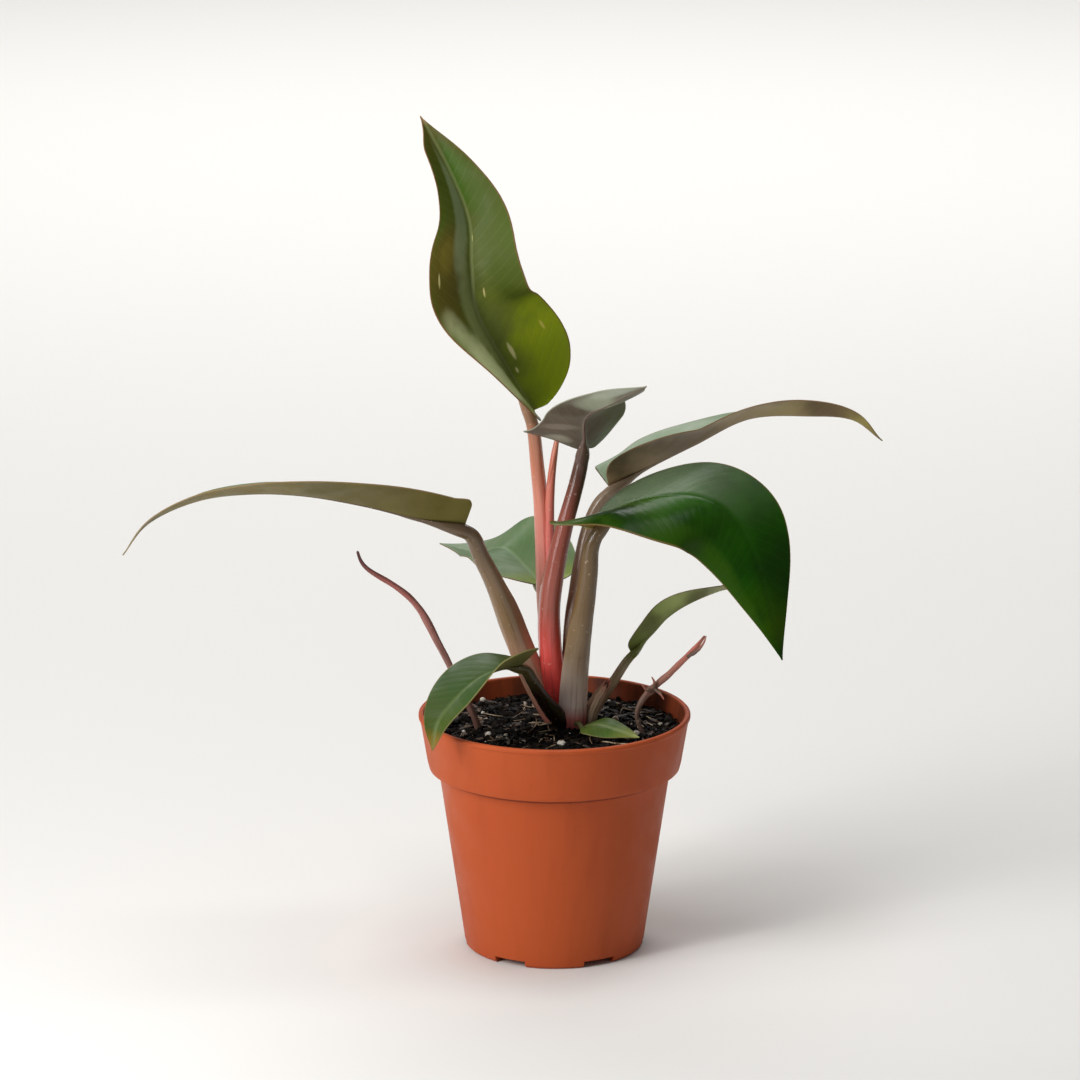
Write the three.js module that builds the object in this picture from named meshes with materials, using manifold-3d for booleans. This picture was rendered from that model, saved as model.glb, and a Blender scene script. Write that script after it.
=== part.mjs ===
// A young pink-stemmed philodendron in a terracotta-coloured nursery pot.
// Millimetres, +Z up. The origin is on the pot's axis, on the surface that the pot stands on,
// with +X to the right and -Y to the front.

import * as THREE from 'three';
import { mergeVertices } from 'three/addons/utils/BufferGeometryUtils.js';
import Module from 'manifold-3d';

const wasm = await Module();
wasm.setup();

// Clearance between pieces that touch on the real plant
const GAP = 0.3;

// Pot: a 12 cm nursery pot with a deep rim band and a notched foot ring
const POT_HEIGHT = 106.4;
const RIM_RADIUS = 60;
const LIP_THICKNESS = 1.7;
const LIP_ROUND = 0.6;
const BAND_TOP_RADIUS = 58.8;
const BAND_BOTTOM_RADIUS = 55.4;
const BAND_BOTTOM = 80.8;
const BAND_FALL = 5.4;
const BAND_ROUND = 3.2;
const NECK_RADIUS = 49.7;
const NECK_HEIGHT = 70.5;
const SHOULDER_STEP = 1.5;
const SHOULDER_RISE = 5.5;
const FOOT_RADIUS = 39.7;
const FOOT_WIDTH = 3;
const FOOT_ROUND = 1.2;
const FOOT_FLARE = 0.4;
const WALL = 1.4;
const FLOOR_UNDERSIDE = 3.4;
const FLOOR_TOP = 5;
const FLOOR_ROUND = 1.5;
const PAD_RADIUS = 12;
const POT_SIDES = 40;
const NOTCH_COUNT = 6;
const NOTCH_WIDTH = 15;
const NOTCH_HEIGHT = 3;
const DRAIN_COUNT = 6;
const DRAIN_RADIUS = 4;
const DRAIN_CIRCLE = 24;
const DRAIN_SIDES = 8;

// Soil: its level, the rings of its surface, and the mound round the stem
const SOIL_LEVEL = 98.6;
const SOIL_EDGE_DROP = 0.8;
const SOIL_RINGS = [50, 40, 30, 20, 10];
const MOUND_HEIGHT = 1.6;
const MOUND_SPREAD = 16;

// Waves of the soil's surface: height, then turns in radians a millimetre along X and Y
const BROAD_WAVE = [0.6, 0.21, 0.19];
const FINE_WAVE = [0.4, 0.47, 0.39];

// Bits mixed into the soil: perlite grains and flat chips of bark
const BIT_SEED = 11;
const BIT_REACH = 50;
const BIT_KEEP_OUT = 7;
const BIT_SINK = 0.2;
const PERLITE_COUNT = 11;
const PERLITE_RADIUS = [1, 1.9];
const BARK_COUNT = 8;
const BARK_SIZE = [4.2, 1.7, 1.2];
const BARK_TILT = 0.25;

// Blades: thickness, how finely they are divided, and the shape of a half's outline
const BLADE_THICKNESS = 0.8;
const BLADE_ROWS = 12;
const ROW_SPREAD = 1.3;
const COLUMN_STEPS = 3;
const TIP_HALF_WIDTH = 0.6;
const OUTLINE_START = 0.16;
const OUTLINE_SKEW = 0.7;
const LOBE_FALL = 5;

// Waves along a margin, and how far the two margins' waves are shifted, in radians
const MARGIN_WAVES = 1.2;
const MARGIN_SHIFT = 0.8;

// Midrib ridge under a blade: depth at the base in stalk radii, how it fades, depth and half
// width at the tip
const RIDGE_DEPTH = 1.7;
const RIDGE_FALL = 1.5;
const RIDGE_TIP_DEPTH = 0.3;
const RIDGE_TIP_WIDTH = 0.35;

// Stalks: sides, rings, and the straight lead into the midrib in stalk radii
const STALK_SIDES = 8;
const STALK_RINGS = 12;
const JOINT_LEAD = 1.4;

// Short stem that the leaf stalks grow from, half buried
const CROWN = {
  path: [[6, 10, 66], [6.5, 9.5, 84], [7, 9, 99], [6, 10, 108], [4, 11, 115]],
  radii: [3, 6, 8, 6.5, 3.5],
};

// Each leaf, youngest first. The stalk's points run from the crown towards the blade, with its
// radii from base to top. The midrib's points run from the stalk to the tip, and `face` is where
// the upper side looks at the base, the middle and the tip. Pairs are the left and right halves,
// seen from above with the tip ahead: widest half width, degrees that the half rises, how far it
// bends down again, how far the basal lobe reaches back, and how far that lobe rises. `wave` is
// the margin's wave: its height, and the turn at which it starts.
const LEAVES = [
  {
    name: 'leaf_a',
    stalk: [[1, 12, 106], [-2, 16, 130], [-4, 17, 153], [-5, 17, 176], [-6, 15, 199], [-8, 13, 218]],
    radii: [4.6, 4.2, 3.6, 3.2, 2.8],
    rib: [[-9, 11, 240], [-22, 6, 263], [-34, 2, 287], [-36, 0, 307], [-37, 2, 326], [-45, 5, 347],
      [-58, 14, 370]],
    face: [[0.8, -0.4, 0.45], [0.1, -0.75, 0.7], [0.45, -0.85, 0.35]],
    half: [28.5, 28.5],
    rise: [35, 31],
    sag: [0.1, -0.1],
    lobe: [0.5, 1.5],
    lobeRise: [1.5, 1.5],
    wave: [5.5, 0.13],
    colours: [0x56642f, 0xc9695c],
  },
  {
    name: 'leaf_b',
    stalk: [[1, 5, 108], [-2, 2, 139], [-2, 0, 157], [1, 0, 176], [5, 2, 193], [10, 5, 210]],
    radii: [5.6, 4.8, 4.5, 3.6, 3.1],
    rib: [[12, 6, 224], [14, -2, 230], [16, -14, 243], [25, -28, 250], [39, -41, 263]],
    face: [[-0.1, 0.4, 0.9], [-0.15, 0.7, 0.7], [-0.3, 0.85, 0.4]],
    half: [23.5, 23],
    rise: [25, 6],
    sag: [-0.2, 0],
    lobe: [11.5, 2],
    lobeRise: [0.5, 0.5],
    wave: [1.2, 0.16],
    colours: [0x6a6c62, 0x9c4a44],
  },
  {
    name: 'leaf_c',
    stalk: [[8, 15, 106], [8, 20, 134], [10, 23, 156], [14, 25, 179], [18, 26, 192]],
    radii: [5, 4.2, 3.8, 3.5, 3],
    rib: [[24, 28, 202], [41, 31, 210], [62, 41, 218], [86, 44, 229], [113, 49, 229],
      [133, 49, 227], [146, 51, 217]],
    face: [[-0.4, 0.35, 0.85], [-0.1, 0.2, 1], [0.45, 0.5, 0.75]],
    half: [23, 23.5],
    rise: [24, 28],
    sag: [0.1, 0.15],
    lobe: [6, 2],
    lobeRise: [4, 3],
    wave: [4.1, 0.15],
    colours: [0x5f6a45, 0x5a4538],
  },
  {
    name: 'leaf_d',
    stalk: [[8, 2, 99], [9, -1, 122], [12, -5, 150], [15, -8, 172]],
    radii: [6.4, 5.6, 4.6, 3.2],
    rib: [[17, -8, 192], [27, -8, 201], [46, -10, 207], [65, -14, 207], [77, -18, 200],
      [86, -24, 186], [94, -30, 161], [100, -36, 136]],
    face: [[0, 0.25, 0.95], [0.15, -0.5, 0.85], [0.65, -0.7, 0.15]],
    half: [29, 30],
    rise: [1, 1],
    sag: [0.05, 0.4],
    lobe: [5.5, 10.5],
    lobeRise: [5.5, 18],
    wave: [1.4, -0.32],
    colours: [0x1f4a1a, 0x7d6946],
  },
  {
    name: 'leaf_e',
    stalk: [[1, 7, 101], [-6, 6, 113], [-14, 4, 131], [-21, 0, 151], [-27, -4, 168], [-34, -8, 183]],
    radii: [5.4, 5.2, 5, 4, 2.9],
    rib: [[-41, -11, 195], [-54, -14, 197], [-82, -22, 206], [-108, -28, 212], [-131, -29, 213],
      [-154, -30, 210], [-176, -33, 200], [-186, -39, 188]],
    face: [[0.1, 0.55, 0.85], [0, 0, 1], [-0.45, 0.15, 0.9]],
    half: [23.5, 23.5],
    rise: [31, 13],
    sag: [0, 0.2],
    lobe: [3.5, 5],
    lobeRise: [-0.5, 3],
    wave: [0.2, -0.11],
    colours: [0x5e5a2b, 0x7f6350],
  },
  {
    name: 'leaf_f',
    stalk: [[4, 16, 104], [-1, 21, 116], [-2, 28, 130], [-3, 34, 144]],
    radii: [4, 3.4, 3, 2.6],
    rib: [[-6, 40, 154], [-13, 51, 159], [-22, 64, 164], [-36, 82, 158], [-52, 92, 159]],
    face: [[0.25, -0.4, 0.9], [-0.1, -0.45, 0.9], [0.05, 0.15, 1]],
    half: [23, 24.5],
    rise: [24, 4],
    sag: [0.1, -0.05],
    lobe: [4, 4],
    lobeRise: [2, 3],
    wave: [1.3, 0.7],
    colours: [0x5c7f5c, 0x6f5a48],
  },
  {
    name: 'leaf_g',
    stalk: [[5, 1, 100], [-1, -4, 108], [-6, -10, 117], [-10, -14, 125]],
    radii: [4.4, 3.6, 2.8, 2.3],
    rib: [[-15, -17, 133], [-22, -22, 133], [-33, -29, 130], [-44, -41, 123], [-51, -50, 115],
      [-53, -52, 104]],
    face: [[-0.1, -0.05, 1], [-0.25, -0.35, 0.9], [-0.15, -0.95, 0.3]],
    half: [18.5, 18.5],
    rise: [23, 14],
    sag: [-0.15, 0.1],
    lobe: [4, 4.5],
    lobeRise: [4, -0.5],
    wave: [1.1, 0.04],
    colours: [0x3d6a33, 0x4a3a30],
  },
  {
    name: 'leaf_h',
    stalk: [[13, 10.5, 97], [17, 12, 103], [22, 14, 110], [27, 16, 117], [31, 18, 123]],
    radii: [2.8, 2.4, 2, 1.8],
    rib: [[34, 19, 129], [43, 19, 137], [50, 21, 144], [60, 23, 150], [80, 34, 154], [86, 38, 151],
      [93, 36, 148]],
    face: [[-0.65, 0.3, 0.7], [-0.15, 0.55, 0.8], [0.3, 0.35, 0.9]],
    half: [9, 10],
    rise: [36, 27],
    sag: [0.2, 0],
    lobe: [0.5, 0],
    lobeRise: [0, 0.5],
    wave: [1.3, -0.14],
    colours: [0x56663e, 0x776548],
  },
  {
    name: 'leaf_i',
    stalk: [[7, 1, 101], [9, -3, 102], [11, -6, 102.5]],
    radii: [1.7, 1.3, 1.1],
    rib: [[13, -9.5, 102.5], [19, -13, 105], [28, -18, 104.5], [37, -22.5, 103]],
    face: [[0, 0, 1], [0, -0.2, 1], [0.1, -0.5, 0.9]],
    half: [7.5, 7.5],
    rise: [-2, -4],
    sag: [0.1, 0.15],
    lobe: [0.5, 0.5],
    lobeRise: [0, 0],
    wave: [0.3, 0.14],
    colours: [0x5d7c3a, 0x5b4a38],
  },
];

// Stalks without a blade: the rolled new leaf, the dry sheath and two withered stalks
const BARE_STALKS = [
  {
    name: 'new_leaf_spear',
    path: [[-3, 15, 138], [-1, 13, 158], [-2, 12, 181], [-2, 11, 200], [-1, 12, 213], [1, 15, 226],
      [3, 19, 235]],
    radii: [2.4, 2.4, 2.2, 2, 1.9, 1.5, 0.4],
    colour: 0xd86a66,
  },
  {
    name: 'dry_sheath',
    path: [[15, 3, 96], [16, 2.5, 105], [18, 2, 110], [21, 3, 115], [24, 3, 120]],
    radii: [2.6, 3, 2.8, 2, 0.5],
    colour: 0x7a5a48,
  },
  {
    name: 'withered_stalk_left',
    path: [[-32, 2, 92], [-35, 0, 103], [-41, -2, 117], [-47, -4, 131], [-52, -5, 141], [-56, -6, 150],
      [-62, -7, 159], [-71, -9, 167], [-79, -11, 176], [-84, -12, 182]],
    radii: [1.3, 1.3, 1.1, 1.2, 1.3, 1.1, 0.8, 0.5],
    colour: 0x9a5c50,
  },
  {
    name: 'withered_stalk_right',
    path: [[41, -8, 92], [39, -8, 99], [36, -8, 106], [37, -8, 111], [41, -7, 117], [49, -6, 124],
      [57, -5, 132], [63, -4, 138], [66, -3, 142]],
    radii: [1.4, 1.4, 1.3, 1.8, 1.2, 1.4, 1.2, 0.9, 0.5],
    colour: 0x8f6052,
  },
];

const POT_COLOUR = 0xb2593a;
const SOIL_COLOUR = 0x1d1814;
const CROWN_COLOUR = 0x8d5f4c;

function toVector(point) {
  return new THREE.Vector3(...point);
}

function curveThrough(points) {
  return new THREE.CatmullRomCurve3(points.map(toVector));
}

// Value at u between evenly spaced entries of a list
function along(list, u) {
  const place = u * (list.length - 1);
  const before = Math.min(Math.floor(place), list.length - 2);
  return THREE.MathUtils.lerp(list[before], list[before + 1], place - before);
}

// -1 at the first place of a row, 1 at its last and 0 between
function endSign(place, last) {
  return Number(place === last) - Number(place === 0);
}

// Closed geometry to solid: shared corners are merged and empty triangles left out
function toSolid(source) {
  const bare = source.clone();
  bare.deleteAttribute('normal');
  bare.deleteAttribute('uv');
  const merged = mergeVertices(bare, 1e-4);
  const corners = merged.index.array;
  const kept = [];
  for (let i = 0; i < corners.length; i += 3) {
    const [a, b, c] = corners.slice(i, i + 3);
    if (a !== b && b !== c && c !== a) {
      kept.push(a, b, c);
    }
  }
  return new wasm.Manifold(new wasm.Mesh({
    numProp: 3,
    vertProperties: new Float32Array(merged.attributes.position.array),
    triVerts: new Uint32Array(kept),
  }));
}

function toGeometry(solid) {
  const mesh = solid.getMesh();
  const geometry = new THREE.BufferGeometry();
  geometry.setAttribute('position', new THREE.BufferAttribute(mesh.vertProperties, 3));
  geometry.setIndex(new THREE.BufferAttribute(mesh.triVerts, 1));
  geometry.computeVertexNormals();
  return geometry;
}

// A cut may leave scraps behind, so only the largest body is kept
function largestBody(solid) {
  const bodies = solid.decompose();
  return bodies.reduce((best, body) => (body.volume() > best.volume() ? body : best));
}

function turned(profile, sides) {
  const points = profile.map(([radius, height]) => new THREE.Vector2(radius, height));
  return new THREE.LatheGeometry(points, sides).rotateX(Math.PI / 2);
}

// Inside of the pot from the middle of its floor to the lip, moved off the wall by `inset`
function insideProfile(inset) {
  const face = WALL + inset;
  return [
    [0, FLOOR_TOP + inset],
    [FOOT_RADIUS - FLOOR_ROUND / 2 - face, FLOOR_TOP + inset],
    [FOOT_RADIUS + FOOT_FLARE - face, FLOOR_TOP + FLOOR_ROUND + inset],
    [NECK_RADIUS - face, NECK_HEIGHT],
    [NECK_RADIUS + SHOULDER_STEP - face, NECK_HEIGHT + SHOULDER_RISE + WALL + inset],
    [BAND_BOTTOM_RADIUS + BAND_ROUND / 4 - face, BAND_BOTTOM + BAND_ROUND + inset],
    [BAND_TOP_RADIUS - face, POT_HEIGHT - LIP_ROUND],
  ];
}

// Moulded wall from the axis under the floor, up the outside, over the lip and down the inside
function potSolid() {
  const footInside = FOOT_RADIUS - FOOT_WIDTH;
  const lipUnderside = POT_HEIGHT - LIP_THICKNESS;
  const profile = [
    [0, 0],
    [PAD_RADIUS - FOOT_ROUND, 0],
    [PAD_RADIUS, FLOOR_UNDERSIDE],
    [footInside - FOOT_ROUND, FLOOR_UNDERSIDE],
    [footInside, 0],
    [FOOT_RADIUS - FOOT_ROUND, 0],
    [FOOT_RADIUS, FOOT_ROUND],
    [FOOT_RADIUS + FOOT_FLARE, FOOT_ROUND + NOTCH_HEIGHT],
    [NECK_RADIUS, NECK_HEIGHT],
    [NECK_RADIUS + SHOULDER_STEP, NECK_HEIGHT + SHOULDER_RISE],
    [BAND_BOTTOM_RADIUS, BAND_BOTTOM],
    [BAND_BOTTOM_RADIUS + BAND_ROUND / 4, BAND_BOTTOM + BAND_ROUND],
    [BAND_TOP_RADIUS, POT_HEIGHT - BAND_FALL],
    [BAND_TOP_RADIUS + LIP_ROUND, lipUnderside - LIP_ROUND],
    [RIM_RADIUS, lipUnderside],
    [RIM_RADIUS, POT_HEIGHT - LIP_ROUND],
    [RIM_RADIUS - LIP_ROUND, POT_HEIGHT],
    [BAND_TOP_RADIUS + LIP_ROUND - WALL, POT_HEIGHT],
    ...insideProfile(0).reverse(),
  ];
  let pot = toSolid(turned(profile, POT_SIDES));
  for (let i = 0; i < NOTCH_COUNT; i += 1) {
    const angle = (i / NOTCH_COUNT) * 2 * Math.PI;
    const notch = new THREE.BoxGeometry(4 * FOOT_WIDTH, NOTCH_WIDTH, 2 * NOTCH_HEIGHT)
      .translate(FOOT_RADIUS, 0, 0)
      .rotateZ(angle);
    pot = pot.subtract(toSolid(notch));
  }
  for (let i = 0; i < DRAIN_COUNT; i += 1) {
    const angle = ((i + 0.5) / DRAIN_COUNT) * 2 * Math.PI;
    const drain = new THREE.CylinderGeometry(DRAIN_RADIUS, DRAIN_RADIUS, 3 * FLOOR_TOP, DRAIN_SIDES)
      .rotateX(Math.PI / 2)
      .translate(DRAIN_CIRCLE, 0, 0)
      .rotateZ(angle);
    pot = pot.subtract(toSolid(drain));
  }
  return pot;
}

// Height of the loose soil: shallow waves, and a mound round the stem
function soilHeight(x, y) {
  const [stemX, stemY] = CROWN.path[2];
  const fromStem = Math.hypot(x - stemX, y - stemY);
  const broad = BROAD_WAVE[0] * Math.sin(BROAD_WAVE[1] * x + 1) * Math.cos(BROAD_WAVE[2] * y);
  const fine = FINE_WAVE[0] * Math.sin(FINE_WAVE[1] * x + FINE_WAVE[2] * y + 0.5);
  return SOIL_LEVEL + broad + fine + MOUND_HEIGHT * Math.exp(-((fromStem / MOUND_SPREAD) ** 2));
}

// Repeatable draw between 0 and 1
function makeDraw(seed) {
  let state = seed;
  return () => {
    state = (state * 16807) % 2147483647;
    return state / 2147483647;
  };
}

// Perlite and bark half sunk in the surface, clear of the stems
function soilBits(stemPlaces) {
  const draw = makeDraw(BIT_SEED);
  const bits = [];
  while (bits.length < PERLITE_COUNT + BARK_COUNT) {
    const radius = BIT_REACH * Math.sqrt(draw());
    const angle = 2 * Math.PI * draw();
    const x = radius * Math.cos(angle);
    const y = radius * Math.sin(angle);
    const size = THREE.MathUtils.lerp(...PERLITE_RADIUS, draw());
    const spin = 2 * Math.PI * draw();
    const crowded = stemPlaces.some(([px, py]) => Math.hypot(px - x, py - y) < BIT_KEEP_OUT);
    if (!crowded) {
      const shape = bits.length < PERLITE_COUNT
        ? new THREE.IcosahedronGeometry(size)
        : new THREE.BoxGeometry(...BARK_SIZE.map((side) => side * size)).rotateY(BARK_TILT);
      bits.push(shape.rotateZ(spin).translate(x, y, soilHeight(x, y) + BIT_SINK * size));
    }
  }
  return bits;
}

// Fill of the pot, a clearance smaller than its inside, with the bits fused on
function soilSolid(stemPlaces) {
  const wall = insideProfile(GAP);
  const [[lowRadius, lowHeight], [highRadius, highHeight]] = wall.slice(-2);
  const slope = (highRadius - lowRadius) / (highHeight - lowHeight);
  const edgeHeight = SOIL_LEVEL - SOIL_EDGE_DROP;
  const profile = [
    ...wall.slice(0, -1),
    [lowRadius + slope * (edgeHeight - lowHeight), edgeHeight],
    ...SOIL_RINGS.map((radius) => [radius, SOIL_LEVEL]),
    [0, SOIL_LEVEL],
  ];
  const body = turned(profile, POT_SIDES);
  const place = body.attributes.position;
  for (let i = 0; i < place.count; i += 1) {
    if (place.getZ(i) > SOIL_LEVEL - GAP) {
      place.setZ(i, soilHeight(place.getX(i), place.getY(i)));
    }
  }
  let soil = toSolid(body);
  for (const bit of soilBits(stemPlaces)) {
    soil = soil.add(toSolid(bit));
  }
  return soil;
}

// A tapering stalk: a cylinder bent onto its curve. `grow` makes the room that it takes.
function stalkSolid(points, radii, grow = 0) {
  const curve = curveThrough(points);
  const frames = curve.computeFrenetFrames(STALK_RINGS);
  const geometry = new THREE.CylinderGeometry(1, 1, 1, STALK_SIDES, STALK_RINGS);
  const place = geometry.attributes.position;
  for (let i = 0; i < place.count; i += 1) {
    const ring = Math.round((place.getY(i) + 0.5) * STALK_RINGS);
    const u = ring / STALK_RINGS;
    const radius = along(radii, u) + grow;
    const point = curve.getPointAt(u)
      .addScaledVector(frames.tangents[ring], endSign(ring, STALK_RINGS) * grow)
      .addScaledVector(frames.normals[ring], place.getX(i) * radius)
      .addScaledVector(frames.binormals[ring], -place.getZ(i) * radius);
    place.setXYZ(i, point.x, point.y, point.z);
  }
  return toSolid(geometry);
}

// Half width of a blade at u from base to tip, as a share of its widest
function outline(u) {
  return Math.sin(Math.PI * (OUTLINE_START + (1 - OUTLINE_START) * u ** OUTLINE_SKEW));
}

// Directions of a blade at u: along the midrib, out of the upper side, and to the right
function bladeFrame(leaf, rib, u) {
  const ahead = rib.getTangentAt(u);
  const [first, middle, last] = leaf.face.map((face) => toVector(face).normalize());
  const up = first.multiplyScalar((1 - u) * (1 - 2 * u))
    .addScaledVector(middle, 4 * u * (1 - u))
    .addScaledVector(last, u * (2 * u - 1));
  up.addScaledVector(ahead, -up.dot(ahead)).normalize();
  return { ahead, up, right: ahead.clone().cross(up) };
}

// Point of a blade's middle surface, `across` millimetres to the right of the midrib
function bladePoint(leaf, rib, u, across) {
  const side = across < 0 ? 0 : 1;
  const { ahead, up, right } = bladeFrame(leaf, rib, u);
  const halfWidth = Math.max(leaf.half[side] * outline(u), TIP_HALF_WIDTH);
  const share = Math.abs(across) / halfWidth;
  const rise = THREE.MathUtils.degToRad(leaf.rise[side]);
  const lobe = (1 - u) ** LOBE_FALL * share * share * (3 - 2 * share);
  const [height, start] = leaf.wave;
  const turn = 2 * Math.PI * (MARGIN_WAVES * u + start) + (side ? MARGIN_SHIFT : -MARGIN_SHIFT);
  const wave = height * share * share * Math.sin(Math.PI * u) * Math.sin(turn);
  const lift = Math.abs(across) * Math.sin(rise) - leaf.sag[side] * halfWidth * share * share;
  return rib.getPointAt(u)
    .addScaledVector(right, across * Math.cos(rise))
    .addScaledVector(up, lift + wave + leaf.lobeRise[side] * lobe)
    .addScaledVector(ahead, -leaf.lobe[side] * lobe);
}

// Distances from the midrib at u of the blade's columns, left margin to right margin. The two
// beside the midrib are the edges of its ridge.
function columnPlaces(leaf, u) {
  const ridge = THREE.MathUtils.lerp(leaf.radii.at(-1), RIDGE_TIP_WIDTH, Math.sqrt(u));
  const places = [0];
  for (let step = 0; step <= COLUMN_STEPS; step += 1) {
    const [left, right] = leaf.half.map((half) => {
      const halfWidth = Math.max(half * outline(u), TIP_HALF_WIDTH);
      return THREE.MathUtils.lerp(ridge, halfWidth, step / COLUMN_STEPS);
    });
    places.unshift(-left);
    places.push(right);
  }
  return places;
}

// Direction out of a blade's upper side at one point of its grid, from the points round it
function gridNormal(grid, row, column) {
  const rowBefore = grid[Math.max(row - 1, 0)];
  const rowAfter = grid[Math.min(row + 1, grid.length - 1)];
  const points = grid[row];
  const alongBlade = rowAfter[column].clone().sub(rowBefore[column]);
  const acrossBlade = points[Math.min(column + 1, points.length - 1)].clone()
    .sub(points[Math.max(column - 1, 0)]);
  return acrossBlade.cross(alongBlade).normalize();
}

// A blade: an upper and a lower sheet divided alike, closed by a rim, with the midrib's ridge
// below. `grow` makes the room that it takes.
function bladeSolid(leaf, grow = 0) {
  const rib = curveThrough(leaf.rib);
  const places = Array.from({ length: BLADE_ROWS + 1 }, (_, row) => (row / BLADE_ROWS) ** ROW_SPREAD);
  const grid = places.map((u) => (
    columnPlaces(leaf, u).map((across) => bladePoint(leaf, rib, u, across))
  ));
  const columns = 2 * COLUMN_STEPS + 3;
  const upper = [];
  const lower = [];
  places.forEach((u, row) => {
    const { ahead, right } = bladeFrame(leaf, rib, u);
    const ridge = RIDGE_DEPTH * leaf.radii.at(-1) * (1 - u) ** RIDGE_FALL + RIDGE_TIP_DEPTH;
    for (let column = 0; column < columns; column += 1) {
      const normal = gridNormal(grid, row, column);
      const point = grid[row][column].clone()
        .addScaledVector(right, endSign(column, columns - 1) * grow)
        .addScaledVector(ahead, endSign(row, BLADE_ROWS) * grow);
      const half = BLADE_THICKNESS / 2 + grow;
      const depth = column === COLUMN_STEPS + 1 ? half + ridge : half;
      upper.push(point.clone().addScaledVector(normal, half));
      lower.push(point.clone().addScaledVector(normal, -depth));
    }
  });
  const index = [];
  const under = upper.length;
  const corner = (row, column) => row * columns + column;
  for (let row = 0; row < BLADE_ROWS; row += 1) {
    for (let column = 0; column < columns - 1; column += 1) {
      const a = corner(row, column);
      const b = corner(row, column + 1);
      const c = corner(row + 1, column + 1);
      const d = corner(row + 1, column);
      index.push(a, b, c, a, c, d);
      index.push(under + a, under + c, under + b, under + a, under + d, under + c);
    }
  }
  const rim = [];
  for (let column = 0; column < columns - 1; column += 1) {
    rim.push(corner(0, column));
  }
  for (let row = 0; row < BLADE_ROWS; row += 1) {
    rim.push(corner(row, columns - 1));
  }
  for (let column = columns - 1; column > 0; column -= 1) {
    rim.push(corner(BLADE_ROWS, column));
  }
  for (let row = BLADE_ROWS; row > 0; row -= 1) {
    rim.push(corner(row, 0));
  }
  rim.forEach((here, i) => {
    const next = rim[(i + 1) % rim.length];
    index.push(under + here, under + next, next, under + here, next, here);
  });
  const geometry = new THREE.BufferGeometry().setFromPoints([...upper, ...lower]);
  geometry.setIndex(index);
  return toSolid(geometry);
}

// A leaf stalk's whole path: its points, then a straight lead into the underside of the midrib
function stalkPath(leaf) {
  const rib = curveThrough(leaf.rib);
  const { ahead, up } = bladeFrame(leaf, rib, 0);
  const radius = leaf.radii.at(-1);
  const joint = rib.getPointAt(0)
    .addScaledVector(up, -(radius + BLADE_THICKNESS / 2 + GAP))
    .addScaledVector(ahead, -2 * GAP);
  const lead = joint.clone().addScaledVector(ahead, -JOINT_LEAD * radius);
  return [...leaf.stalk, lead.toArray(), joint.toArray()];
}

const plant = new THREE.Group();

function addPiece(name, solid, color, roughness) {
  const material = new THREE.MeshStandardMaterial({ color, roughness, metalness: 0 });
  const mesh = new THREE.Mesh(toGeometry(solid), material);
  mesh.name = name;
  plant.add(mesh);
}

// Stems first, each cut back where an earlier one already stands, as sheaths wrap one another
const taken = [];
const soilHoles = [];

function addStem(name, path, radii, color, keepOut = []) {
  let stem = stalkSolid(path, radii);
  for (const room of [...taken, ...keepOut]) {
    stem = stem.subtract(room);
  }
  addPiece(name, largestBody(stem), color, 0.45);
  const room = stalkSolid(path, radii, GAP);
  taken.push(room);
  soilHoles.push(room);
}

addStem('crown', CROWN.path, CROWN.radii, CROWN_COLOUR);
for (const leaf of LEAVES) {
  const [bladeColour, stalkColour] = leaf.colours;
  addStem(`${leaf.name}_stalk`, stalkPath(leaf), leaf.radii, stalkColour, [bladeSolid(leaf, GAP)]);
  addPiece(`${leaf.name}_blade`, bladeSolid(leaf), bladeColour, 0.4);
}
for (const stalk of BARE_STALKS) {
  addStem(stalk.name, stalk.path, stalk.radii, stalk.colour);
}

addPiece('pot', potSolid(), POT_COLOUR, 0.6);

const stemPlaces = [CROWN.path[2], ...BARE_STALKS.slice(1).map((stalk) => stalk.path[1])];
let soil = soilSolid(stemPlaces);
for (const hole of soilHoles) {
  soil = soil.subtract(hole);
}
addPiece('soil', largestBody(soil), SOIL_COLOUR, 0.95);

export default plant;
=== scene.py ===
# A young pink-stemmed philodendron in a terracotta-coloured nursery pot.
# Metres, +Z up. The origin is on the pot's axis, on the surface that the pot stands on, with +X
# to the right and -Y to the front.

import math
import random

import bmesh
import bpy
from mathutils import Matrix, Vector, noise


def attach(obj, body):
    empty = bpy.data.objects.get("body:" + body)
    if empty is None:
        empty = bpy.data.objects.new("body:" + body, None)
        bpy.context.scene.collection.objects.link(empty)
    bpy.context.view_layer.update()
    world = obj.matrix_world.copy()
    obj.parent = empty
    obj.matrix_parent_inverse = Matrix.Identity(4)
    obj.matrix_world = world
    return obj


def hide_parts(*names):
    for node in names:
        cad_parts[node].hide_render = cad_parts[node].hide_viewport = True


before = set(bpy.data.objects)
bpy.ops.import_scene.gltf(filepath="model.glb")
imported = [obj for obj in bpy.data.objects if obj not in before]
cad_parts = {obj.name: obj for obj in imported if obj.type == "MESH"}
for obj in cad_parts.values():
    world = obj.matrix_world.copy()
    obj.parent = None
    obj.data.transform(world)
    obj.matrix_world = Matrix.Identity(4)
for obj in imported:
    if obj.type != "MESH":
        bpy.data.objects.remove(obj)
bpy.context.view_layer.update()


# Pot: a thin injection-moulded plastic nursery pot with a deep rim band and a rounded lip.
# Its wall is one profile turned round the axis, and the foot ring's notches and the drain
# holes are cut through it.
MM = 0.001
POT_HEIGHT = 106.4 * MM
RIM_RADIUS = 60 * MM
LIP_THICKNESS = 1.7 * MM
LIP_ROUND = 0.6 * MM
BAND_TOP_RADIUS = 58.8 * MM
BAND_BOTTOM_RADIUS = 55.4 * MM
BAND_BOTTOM = 82 * MM
BAND_FALL = 5.4 * MM
BAND_ROUND = 3.2 * MM
NECK_RADIUS = 49.7 * MM
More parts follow.
